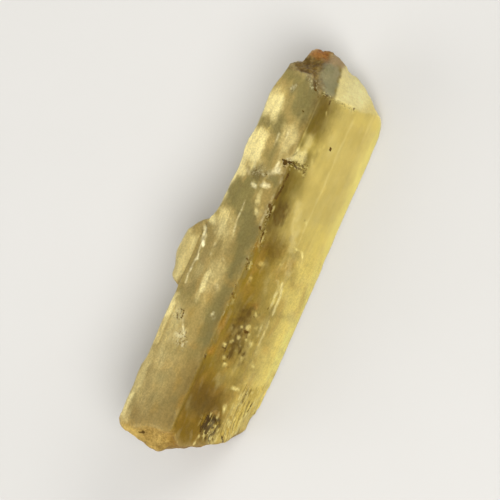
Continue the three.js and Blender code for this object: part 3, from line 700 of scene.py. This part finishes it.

# painted shade darkens the stone toward the long ridge, and further out in its lower half; it is also
# darker low on the right, near the base
shade = right * upper * (1 - rise(wavy_t, 0.6, 3.2))
lower_shade = right * lower * (1 - 0.45 * rise(wavy_t, 1.8, 3.6) - 0.55 * rise(wavy_t, 4.2, 6.0))
deep = right * (1 - rise(S + 0.6 * mottle, -14.5, -11.5)) * (1 - rise(T + 0.6 * mottle, 3.2, 5.0))
# painted light coming through the stone: golden clouds, a glow toward the right edge and a bright
# right rim
gold_glow = patches(GOLD_GLOW_CLOUDS)
glow = right * rise(T + 0.25 * mottle, 5.5, 7.0)
right_rim_light = front * rise(T + 0.1 * mottle, 6.5, 6.9) * rise(S, -14.0, -12.0)
right_rim_light *= 0.45 + 0.55 * band(S, -12.2, -5.8, 0.6)
# the left face is milky, partly a painted reflection sheen, and a little darker toward the ridge
milk_and_sheen = left * np.clip(0.97 + 0.06 * mottle, 0, 1)
near_ridge = left * rise(T + 0.5 * mottle, -2.2, -0.2) * (0.45 + 0.5 * lower)

pale = worn(patches(PALE_CLOUDS), 0.5 * drawn_out + 0.6 * fine_mottle, 0.22)
pale = np.maximum(pale, worn(streaks(PALE_LINES), cloudy, 0.4))
grey_haze_and_sheen = worn(patches(GREY_HAZE_AND_SHEEN_CLOUDS), cloudy + 0.3 * mottle, 0.2)

# the tip's two faces: painted shade on the slate one, painted light on the cream one and its sunlit
# part
shaded_slate = patch(SHADED_SLATE_FACE, 0.22, 0.35)
lit_cream = patch(LIT_CREAM_FACE, 0.13, 0.3)
sunlit = patch(SUNLIT_PART, 0.5) * (0.8 + 0.4 * mottle + 0.3 * fine_mottle)
sunlit = lit_cream * np.clip(sunlit, 0, 1)
tawny = lit_cream * patch(TAWNY_PART, 0.5)
rosy = front * rise(S + 0.4 * mottle, 19.9, 20.6) * band(T, -0.5, 1.3, 0.3)

# bubbles stand in smoky stone, with painted shade in the hollows between them and on their dark sides,
# and painted glints on their lit sides
bubble_glints, bubble_shadow = bubbles(BUBBLES)
smoke = worn(patches(SMOKE_CLOUDS), cloudy, 0.25) * (0.97 + 0.2 * crumbs)
smoke = np.maximum(smoke, 0.75 * bubble_shadow)
shaded_hollows = rise(noise(points, (0.75, 0.5, 0.5), 64), -0.05, 0.45) * patch(BUBBLE_ZONE, 0.5)
smoke = np.maximum(smoke, shaded_hollows * (1 - rise(bubble_glints, 0.2, 0.5)))

# white flaws, with the bubbles' painted glints
veil_and_glints = np.maximum(bubble_glints, 0.85 * blobs(VEIL_AND_GLINT_SPOTS))
veil_and_glints = np.maximum(veil_and_glints, patches(VEIL_AND_GLINT_ZONES))
veil_and_glints = np.maximum(veil_and_glints, streaks(VEIL_AND_GLINT_LINES))
veil_and_glints = worn(veil_and_glints, crumbs + 0.4 * fine_mottle, 0.35)

# the broken corner at the tip: orange at its top, umber in the notch and along its fringe
orange_tip = front * (1 - rise(T + 0.5 * mottle, -0.9, -0.1))
orange_tip *= rise(S + 0.5 * mottle + 0.2 * fine_mottle, 19.8, 20.5)
umber = front * (1 - rise(T + 0.12 * (S - 18) + 0.4 * mottle, -1.0, -0.1))
umber *= rise(S + 0.2 * fine_mottle + 0.16 * np.abs(T + 2.5), 18.0, 18.4)
umber = worn(umber, cloudy, 0.3)
umber = np.maximum(umber, 0.65 * worn(patch(NOTCH_FRINGE, 0.25), crumbs, 0.4))

# the base is tan below a line that follows its worn edge
foot = np.interp(T, *zip(*FOOT_LINE))
tan = front * (1 - rise(S + 0.6 * mottle + 0.35 * fine_mottle, foot - 0.8, foot + 0.9))
tan = np.clip(np.maximum(tan, base), 0, 1)
sallow = tan * rise(T + 0.5 * mottle, -0.5, 1.3)
rim = front * tan * (1 - rise(T + 0.4 * mottle, -3.0, -2.4)) * (1 - rise(S, -21.1, -20.6))
lumps = rise(noise(points, (0.9, 0.5, 0.5), 65) + 0.4 * crumbs, 0.05, 0.6) * tan * front
rim = np.maximum(rim, 0.5 * lumps)
clods = rise(noise(points, (0.8, 0.5, 0.5), 66) + 0.4 * crumbs, 0.15, 0.7)
umber = np.maximum(umber, 0.4 * tan * front * clods)
blush = 0.35 * left * (1 - rise(S + 0.8 * mottle, -20.6, -16.0))

# rusty spots, and loose clouds of warmer, cooler and brighter stone
rust = worn(blobs(RUST_SPOTS), cloudy, 0.5)
warm = rise(noise(points, (1.7, 1.1, 1.1), 55) + 0.4 * fine_mottle, 0.0, 0.7)
warm *= 0.36 * right * lower + 0.25 * left * (1 - rise(S, -6, -1)) + 0.15 * hidden
cool = rise(noise(points, (2.6, 1.3, 1.3), 56) + 0.4 * fine_mottle, 0.05, 0.75)
cool *= 0.45 * left + 0.3 * right * lower + 0.3 * hidden
bright = rise(noise(points, (1.8, 0.7, 0.7), 59) + 0.4 * fine_mottle, 0.1, 0.8)
bright *= 0.34 * left * rise(S, -13, -7) + 0.25 * right * (1 - 0.8 * shade) + 0.35 * hidden

# broken skin: chips along the ridge, the crushed spot and the flutes beside it
cracked = patch(CRACKED_ZONE, 0.3)
fluted = patch(FLUTED_ZONE, 0.5)
ridge_chips = front * (1 - rise(np.abs(T - 0.25), 0.05, 0.35)) * band(S, -12.5, 9.4, 0.5)
ridge_chips *= (0.25 + 0.35 * rise(S, 0.0, 4.0)) * rise(noise(points, (1.3, 0.5, 0.5), 34), -0.1, 0.3)
chippy = np.maximum(patches(CHIPPED_ZONES), ridge_chips)
crushed = np.clip(np.maximum.reduce([0.8 * chippy, cracked, 0.8 * fluted]), 0, 1)
rough_skin = np.clip(broken + 0.6 * chippy + 0.7 * cracked + 0.4 * fluted, 0, 1)
# painted shade along the lower part of the ridge, strongest toward the base
ridge_shade = front * (1 - rise(np.abs(T - 0.2), 0.08, 0.28))
ridge_shade *= (1 - rise(S, 8.0, 9.5)) * (0.6 + 0.4 * rise(-S, 8, 12))

# dark marks: cracks and stray specks, and painted shade in the notches, in the crushed pit, in the
# hollows between the bubbles and on the bubbles' dark sides
few = rise(layered(points, (5, 3, 3), 63), 0.1, 0.5)
specks = noise(points, (0.3, 0.24, 0.24), 60) + 0.25 * mottle
dark = np.maximum(streaks(DARK_LINES, 0.4), 0.4 * few * rise(specks, 0.86, 1.0))
dark = np.maximum(dark, 0.36 * shaded_hollows * (1 - rise(veil_and_glints, 0.1, 0.4)))
dark = np.maximum(dark, 0.85 * bubble_shadow * right * (1 - rise(veil_and_glints, 0.2, 0.5)))
dark = np.maximum(dark, 0.35 * umber * rise(crumbs + 0.3 * fine_mottle, 0.1, 0.6))

# how much fine grain shows; the right face is calm in its upper part
calm_face = right * upper * rise(T, 2.0, 3.2) * (1 - rise(S, 16.8, 17.4))
busy = (0.75 + 0.25 * upper) * left + 0.55 * right * lower + 0.25 * front + 0.6 * hidden
busy = np.clip(busy + 0.25 * np.maximum(shaded_slate, lit_cream), 0, 1) * (1 - 0.75 * calm_face)

fields = dict(
    tone=0.5 + 0.24 * mottle + 0.2 * fine_mottle + 0.12 * crumbs + 0.04 * drawn_out,
    haze=0.5 + 0.5 * layered(points, (6, 2.2, 2.2), 25),
    # worn edges drawn lighter, partly a painted highlight
    edge=worn_edges_and_highlight * (1 - 0.8 * tan) * (1 - front * (1 - rise(np.abs(T), 0.5, 1.2))),
    gilt=rise(T, -0.1, 0.5),
    milk_and_sheen=milk_and_sheen, near_ridge=near_ridge, shade=shade, lower_shade=lower_shade, deep=deep, glow=glow, right_rim_light=right_rim_light,
    gold_glow=gold_glow, smoke=smoke, pale=pale, grey_haze_and_sheen=grey_haze_and_sheen, warm=warm, cool=cool, bright=bright,
    shaded_slate=shaded_slate, lit_cream=lit_cream, sunlit=sunlit, tawny=tawny, rosy=rosy, rust=rust, umber=umber,
    orange_tip=orange_tip, tan=tan, sallow=sallow, rim=rim, blush=blush, veil_and_glints=veil_and_glints, dark=dark,
    ridge_shade=ridge_shade, chippy=chippy, fluted=fluted, cracked=cracked, crushed=crushed, broken=rough_skin,
    busy=busy,
)
for name, values in fields.items():
    attribute = crystal_mesh.attributes.new(name, "FLOAT", "POINT")
    attribute.data.foreach_set("value", np.clip(values, 0, 1).astype(np.float32))


# ---- materials ----


class Nodes:
    """Adds and links the shader nodes of one new material."""

    def __init__(self, name):
        self.material = bpy.data.materials.new(name)
        self.material.use_nodes = True
        self.tree = self.material.node_tree
        self.shader = next(n for n in self.tree.nodes if n.type == "BSDF_PRINCIPLED")
        self.output = next(n for n in self.tree.nodes if n.type == "OUTPUT_MATERIAL")

    def add(self, kind, **settings):
        node = self.tree.nodes.new(kind)
        for key, value in settings.items():
            setattr(node, key, value)
        return node

    def put(self, socket, value):
        """Link a socket to the value, or set it where the value is a plain one."""
        if isinstance(value, bpy.types.NodeSocket):
            self.tree.links.new(value, socket)
        else:
            socket.default_value = value

    def field(self, name):
        return self.add("ShaderNodeAttribute", attribute_name=name).outputs["Fac"]

    def math(self, operation, a, b):
        node = self.add("ShaderNodeMath", operation=operation)
        self.put(node.inputs[0], a)
        self.put(node.inputs[1], b)
        return node.outputs[0]

    def times(self, a, b):
        return self.math("MULTIPLY", a, b)

    def larger(self, a, b):
        return self.math("MAXIMUM", a, b)

    def mix(self, share, a, b):
        """Colour a, or b where share is 1."""
        node = self.add("ShaderNodeMix", data_type="RGBA", blend_type="MIX")
        self.put(node.inputs[0], share)
        self.put(node.inputs[6], a)
        self.put(node.inputs[7], b)
        return node.outputs[2]

    def blend(self, share, a, b):
        """Number a, or b where share is 1."""
        node = self.add("ShaderNodeMix", data_type="FLOAT")
        self.put(node.inputs[0], share)
        self.put(node.inputs[2], a)
        self.put(node.inputs[3], b)
        return node.outputs[0]

    def ramp(self, value, low, high, out_low=0.0, out_high=1.0):
        node = self.add("ShaderNodeMapRange", interpolation_type="SMOOTHSTEP")
        for socket, given in zip(node.inputs, (value, low, high, out_low, out_high)):
            self.put(socket, given)
        return node.outputs[0]

    def grain(self, scale, detail, stretch=(1, 1, 1)):
        """Noise with this many lumps a metre, stretched along the prism where given."""
        where = self.add("ShaderNodeTexCoord").outputs["Object"]
        mapping = self.add("ShaderNodeMapping")
        self.put(mapping.inputs["Vector"], where)
        mapping.inputs["Scale"].default_value = stretch
        node = self.add("ShaderNodeTexNoise")
        self.put(node.inputs["Vector"], mapping.outputs[0])
        node.inputs["Scale"].default_value = scale
        node.inputs["Detail"].default_value = detail
        node.inputs["Roughness"].default_value = GRAIN_ROUGHNESS
        return node.outputs["Fac"]


GRAIN_ROUGHNESS = 0.55

IOR = 1.62
GLOSS = 0.18
GLOSS_TINT = (1.0, 0.9, 0.42, 1)
POLISHED, SATIN, BROKEN_SKIN = 0.285, 0.38, 0.55  # roughness
BUMP_STRENGTH = 0.12
BUMP_DEPTH = 0.04 * MM
ABSORPTION_TINT = (0.9, 0.8, 0.3, 1)
ABSORPTION = 60.0  # for each metre of stone

# How clear the stone is, from 0 to 1: without haze, with full haze, in a dark mark, and where a
# field is 1, laid one after the other.
CLEAREST, HAZIEST, MARK_CLEARNESS = 0.7, 0.56, 0.03
CLEARNESS = [
    ("smoke", 0.42), ("pale", 0.4), ("tan", 0.3), ("umber", 0.2),
    ("rust", 0.35), ("ridge_shade", 0.25), ("veil_and_glints", 0.2), ("crushed", 0.12),
]

# How the stone answers the studio light: it shows gloss + gain * c / (1 - gather * c) where its
# base colour is c. Each row holds gloss, gain and gather for one kind of surface, rounded from
# fits to test renders with plain base colours.
ANSWERS = {
    "right": ((0.040, 0.037, 0.020), (0.698, 0.680, 0.643), (0.24, 0.225, 0.16)),
    "left": ((0.030, 0.027, 0.013), (0.764, 0.746, 0.703), (0.195, 0.185, 0.12)),
    "tip": ((0.065, 0.060, 0.040), (0.620, 0.607, 0.570), (0.265, 0.245, 0.175)),
    "break": ((0.044, 0.039, 0.022), (1.030, 1.010, 0.950), (0.02, 0.03, 0.06)),
}
DARKEST = 0.003


def shown(display, where="right"):
    """Base colour with which the stone shows as this 0-255 display colour in the studio light."""
    gloss, gain, gather = ANSWERS[where]
    wanted = [(c - g) / k for c, g, k in zip(srgb(*display), gloss, gain)]
    return tuple(min(max(w / (1 + q * w), DARKEST), 1.0) for w, q in zip(wanted, gather)) + (1,)


BODY = ((216, 192, 107), (209, 184, 99))  # mixed by a soft grain
# The tints laid over it, one after the other: [field, strength, kind of surface, display colour],
# and for the grainy ones a second display colour and the grain that mixes the two.
TINTS = [
    ("glow", 1.0, "right", (240, 216, 118)),
    ("shade", 1.0, "right", (113, 98, 44)),
    ("lower_shade", 1.0, "right", (138, 113, 45)),
    ("deep", 0.95, "right", (124, 97, 36)),
    ("gold_glow", 1.0, "right", (240, 212, 110)),
    ("right_rim_light", 1.0, "right", (252, 232, 126)),
    ("milk_and_sheen", 1.0, "left", (171, 149, 91)),
    ("near_ridge", 1.0, "left", (146, 124, 71)),
    ("cool", 1.0, "left", (128, 119, 73)),
    ("warm", 1.0, "right", (178, 136, 62)),
    ("bright", 1.0, "right", (216, 195, 124)),
    ("grey_haze_and_sheen", 1.0, "left", (119, 112, 72)),
    ("pale", 1.0, "left", (238, 220, 146)),
    ("smoke", 1.0, "right", (84, 69, 18)),
    ("ridge_shade", 0.85, "break", (112, 92, 44)),
    ("blush", 1.0, "left", (174, 145, 84)),
    ("tan", 1.0, "break", (156, 128, 68), (182, 150, 82), "grit"),
    ("sallow", 1.0, "right", (126, 95, 35)),
    ("rim", 0.8, "break", (208, 176, 96)),
    ("lit_cream", 1.0, "tip", (229, 212, 138)),
    ("sunlit", 1.0, "tip", (245, 232, 158)),
    ("tawny", 0.7, "tip", (216, 190, 112)),
    ("shaded_slate", 1.0, "tip", (120, 118, 91), (140, 133, 102), "cloud"),
    ("rosy", 0.85, "tip", (156, 133, 100)),
    ("umber", 1.0, "break", (92, 74, 38), (116, 94, 52), "speckle"),
    ("orange_tip", 1.0, "break", (130, 84, 40), (146, 102, 54), "speckle"),
    ("rust", 1.0, "right", (138, 96, 40), (172, 124, 60), "speckle"),
    ("fluted", 0.5, "break", (200, 166, 70)),
    ("cracked", 0.65, "break", (150, 122, 46)),
]
VEIL_AND_GLINT_TINTS = ((236, 223, 166), (216, 196, 118))  # on the left face and on the right one
# worn edges, partly a painted highlight
WORN_EDGE_AND_HIGHLIGHT_TINT = (238, 222, 156)
# the near black of cracks and of painted shade
CRACK_AND_SHADE_DARK = (0.065, 0.03, 0.003, 1)


def topaz_material():
    nodes = Nodes("imperial_topaz")
    fine_grain = nodes.grain(2600, 3)
    soft_grain = nodes.grain(420, 3)
    drawn_grain = nodes.grain(1500, 3, stretch=(0.08, 1, 1))
    flecks = nodes.grain(5200, 2)
    strokes = nodes.grain(4200, 2, stretch=(0.22, 1, 1))
    flutes = nodes.grain(4600, 2, stretch=(0.1, 1, 1))
    shards = nodes.grain(3300, 2, stretch=(0.3, 1, 1))
    mixers = {
        "grit": nodes.ramp(nodes.grain(4600, 2), 0.36, 0.64),
        "cloud": nodes.ramp(soft_grain, 0.35, 0.65),
        "speckle": nodes.ramp(fine_grain, 0.35, 0.65),
    }

    # tints
    colour = nodes.mix(nodes.ramp(soft_grain, 0.3, 0.7), *(shown(display) for display in BODY))
    for field, strength, where, display, *second in TINTS:
        share = nodes.field(field)
        if field == "smoke":
            share = nodes.times(share, nodes.ramp(soft_grain, 0.25, 0.6, 0.85, 1.0))
        elif strength != 1.0:
            share = nodes.times(share, strength)
        tint = shown(display, where)
        if second:
            tint = nodes.mix(mixers[second[1]], tint, shown(second[0], where))
        colour = nodes.mix(share, colour, tint)

    # chips, flutes and cracks have lit and dark sides
    chips, flutings, cracks = nodes.field("chippy"), nodes.field("fluted"), nodes.field("cracked")
    lit = nodes.larger(nodes.times(chips, nodes.ramp(flecks, 0.45, 0.38)),
                       nodes.times(flutings, nodes.ramp(strokes, 0.42, 0.36)))
    lit = nodes.larger(lit, nodes.times(cracks, nodes.ramp(shards, 0.45, 0.4)))
    unlit = nodes.larger(nodes.times(chips, nodes.ramp(flecks, 0.56, 0.62)),
                         nodes.times(flutings, nodes.ramp(flutes, 0.56, 0.64, 0.0, 0.6)))
    unlit = nodes.larger(unlit, nodes.times(cracks, nodes.ramp(shards, 0.51, 0.55)))

    # white veils and painted glints, and dark marks with ragged outlines, partly painted shade
    flaws_and_glints = nodes.times(nodes.field("veil_and_glints"), nodes.ramp(fine_grain, 0.3, 0.6, 0.7, 1.0))
    flaw_and_glint_tint = nodes.mix(nodes.field("gilt"), *(shown(display) for display in VEIL_AND_GLINT_TINTS))
    colour = nodes.mix(nodes.larger(flaws_and_glints, nodes.times(lit, 0.85)), colour, flaw_and_glint_tint)
    dark = nodes.field("dark")
    ragged = nodes.math("ADD", dark, nodes.times(nodes.math("SUBTRACT", flecks, 0.5), 0.9))
    mark = nodes.larger(nodes.ramp(ragged, 0.42, 0.76), nodes.times(dark, 0.35))
    # dark marks, and painted shade on the dark sides of chips, flutes and cracks
    colour = nodes.mix(nodes.larger(mark, unlit), colour, CRACK_AND_SHADE_DARK)
    # worn edges a little lighter, partly a painted highlight
    colour = nodes.mix(nodes.times(nodes.field("edge"), 0.2), colour, shown(WORN_EDGE_AND_HIGHLIGHT_TINT))

    # lighter and darker from place to place
    toned = nodes.times(nodes.ramp(drawn_grain, 0.35, 0.7, 0.98, 1.02),
                        nodes.blend(nodes.field("tone"), 0.82, 1.17))
    crisp = nodes.times(nodes.ramp(flecks, 0.3, 0.7, 0.84, 1.16),
                        nodes.ramp(strokes, 0.3, 0.7, 0.94, 1.06))
    toned = nodes.times(toned, nodes.blend(nodes.field("busy"), 1.0, crisp))
    toned = nodes.times(toned, nodes.blend(nodes.field("crushed"), 1.0, 0.63))
    tinted = nodes.add("ShaderNodeVectorMath", operation="SCALE")
    nodes.put(tinted.inputs[0], colour)
    nodes.put(tinted.inputs["Scale"], toned)

    # skin and clearness
    haze = nodes.field("haze")
    dull = nodes.larger(nodes.larger(nodes.field("broken"), nodes.field("veil_and_glints")), nodes.field("ridge_shade"))
    roughness = nodes.blend(dull, nodes.ramp(haze, 0.2, 0.8, POLISHED, SATIN), BROKEN_SKIN)
    clear = nodes.blend(haze, CLEAREST, HAZIEST)
    for field, left_clear in CLEARNESS:
        clear = nodes.blend(nodes.field(field), clear, left_clear)
    clear = nodes.blend(mark, clear, MARK_CLEARNESS)

    bump = nodes.add("ShaderNodeBump")
    bump.inputs["Strength"].default_value = BUMP_STRENGTH
    bump.inputs["Distance"].default_value = BUMP_DEPTH
    nodes.put(bump.inputs["Height"], nodes.math("ADD", nodes.times(fine_grain, 0.5), drawn_grain))

    shader = nodes.shader
    nodes.put(shader.inputs["Base Color"], tinted.outputs[0])
    nodes.put(shader.inputs["Roughness"], roughness)
    nodes.put(shader.inputs["Transmission Weight"], clear)
    nodes.put(shader.inputs["Normal"], bump.outputs[0])
    shader.inputs["IOR"].default_value = IOR
    shader.inputs["Specular IOR Level"].default_value = GLOSS
    shader.inputs["Specular Tint"].default_value = GLOSS_TINT

    inside = nodes.add("ShaderNodeVolumeAbsorption")
    inside.inputs["Color"].default_value = ABSORPTION_TINT
    inside.inputs["Density"].default_value = ABSORPTION
    nodes.put(nodes.output.inputs["Volume"], inside.outputs[0])
    return nodes.material


crystal = bpy.data.objects.new("crystal", crystal_mesh)
add_to_scene(crystal)
crystal_mesh.materials.append(topaz_material())
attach(crystal, "root")
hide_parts("topaz_crystal")


# ---- floor, light and camera ----

FLOOR_HALF = 3.0  # m
FLOOR_Z = -0.02 * MM  # just under the resting face, so that the two don't share a plane
FLOOR_TINTS = ((187, 186, 184), (182, 181, 178))
FLOOR_ROUGHNESS = 0.8

LIGHT_DISTANCE = 1.0  # m
# Soft disks: [name, direction from the crystal, size in m, power in W, colour].
LIGHTS = [
    ("softbox_front", (-0.3, -0.6, 0.9), 0.8, 11.0, (1, 0.985, 0.96)),
    ("softbox_left", (-0.8, 0.9, 0.5), 0.8, 5.0, (1, 0.99, 0.97)),
    ("softbox_tip", (1.0, -0.35, 0.5), 0.7, 6.0, (1, 0.99, 0.97)),
]
SURROUNDINGS = (1, 0.99, 0.97, 1)
SURROUNDINGS_LOW, SURROUNDINGS_HIGH = 0.4, 0.62  # brightness at the horizon and overhead

TURN = math.radians(24)  # the prism's point leans this far to the right in the picture
VIEW_DISTANCE = 0.4  # m
VIEW_WIDTH = 0.05  # m
MID_OUT = 4.13  # how far out the middle of the view lies, in mm


def add_floor():
    signs = ((-1, -1), (1, -1), (1, 1), (-1, 1))
    corners = [(x * FLOOR_HALF, y * FLOOR_HALF, FLOOR_Z) for x, y in signs]
    mesh = bpy.data.meshes.new("floor")
    mesh.from_pydata(corners, [], [(0, 1, 2, 3)])
    floor = bpy.data.objects.new("floor", mesh)
    add_to_scene(floor)
    nodes = Nodes("pale_floor")
    tint = nodes.mix(nodes.grain(30, 4), *(srgb(*display) for display in FLOOR_TINTS))
    nodes.put(nodes.shader.inputs["Base Color"], tint)
    nodes.shader.inputs["Roughness"].default_value = FLOOR_ROUGHNESS
    mesh.materials.append(nodes.material)


def add_light(name, direction, size, power, colour):
    data = bpy.data.lights.new(name, "AREA")
    data.shape = "DISK"
    data.size = size
    data.energy = power
    data.color = colour
    light = bpy.data.objects.new(name, data)
    direction = Vector(direction).normalized()
    light.location = direction * LIGHT_DISTANCE
    light.rotation_mode = "QUATERNION"
    light.rotation_quaternion = direction.to_track_quat("Z", "Y")
    add_to_scene(light)


def add_world():
    """Soft pale surroundings, brighter toward the top."""
    world = bpy.data.worlds.new("studio")
    bpy.context.scene.world = world
    world.use_nodes = True
    tree = world.node_tree
    where = tree.nodes.new("ShaderNodeTexCoord")
    split = tree.nodes.new("ShaderNodeSeparateXYZ")
    tone = tree.nodes.new("ShaderNodeMapRange")
    tree.links.new(where.outputs["Generated"], split.inputs[0])
    tree.links.new(split.outputs["Z"], tone.inputs[0])
    for socket, value in zip(tone.inputs[1:], (0.0, 1.0, SURROUNDINGS_LOW, SURROUNDINGS_HIGH)):
        socket.default_value = value
    background = next(n for n in tree.nodes if n.type == "BACKGROUND")
    tree.links.new(tone.outputs[0], background.inputs["Strength"])
    background.inputs["Color"].default_value = SURROUNDINGS


def add_camera():
    """Looks straight at the crystal's front."""
    view_right = ACROSS * math.cos(TURN) + ALONG * math.sin(TURN)
    view_up = ALONG * math.cos(TURN) - ACROSS * math.sin(TURN)
    middle = (ACROSS * T_ZERO + ALONG * S_ZERO + OUTWARD * MID_OUT) * MM
    eye = middle + OUTWARD * VIEW_DISTANCE
    data = bpy.data.cameras.new("camera")
    data.lens = data.sensor_width * VIEW_DISTANCE / VIEW_WIDTH
    camera = bpy.data.objects.new("camera", data)
    camera.matrix_world = Matrix([
        (view_right[0], view_up[0], OUTWARD[0], eye[0]),
        (view_right[1], view_up[1], OUTWARD[1], eye[1]),
        (view_right[2], view_up[2], OUTWARD[2], eye[2]),
        (0, 0, 0, 1),
    ])
    add_to_scene(camera)
    bpy.context.scene.camera = camera


add_floor()
for light in LIGHTS:
    add_light(*light)
add_world()
add_camera()
bpy.context.scene.view_settings.view_transform = "Standard"
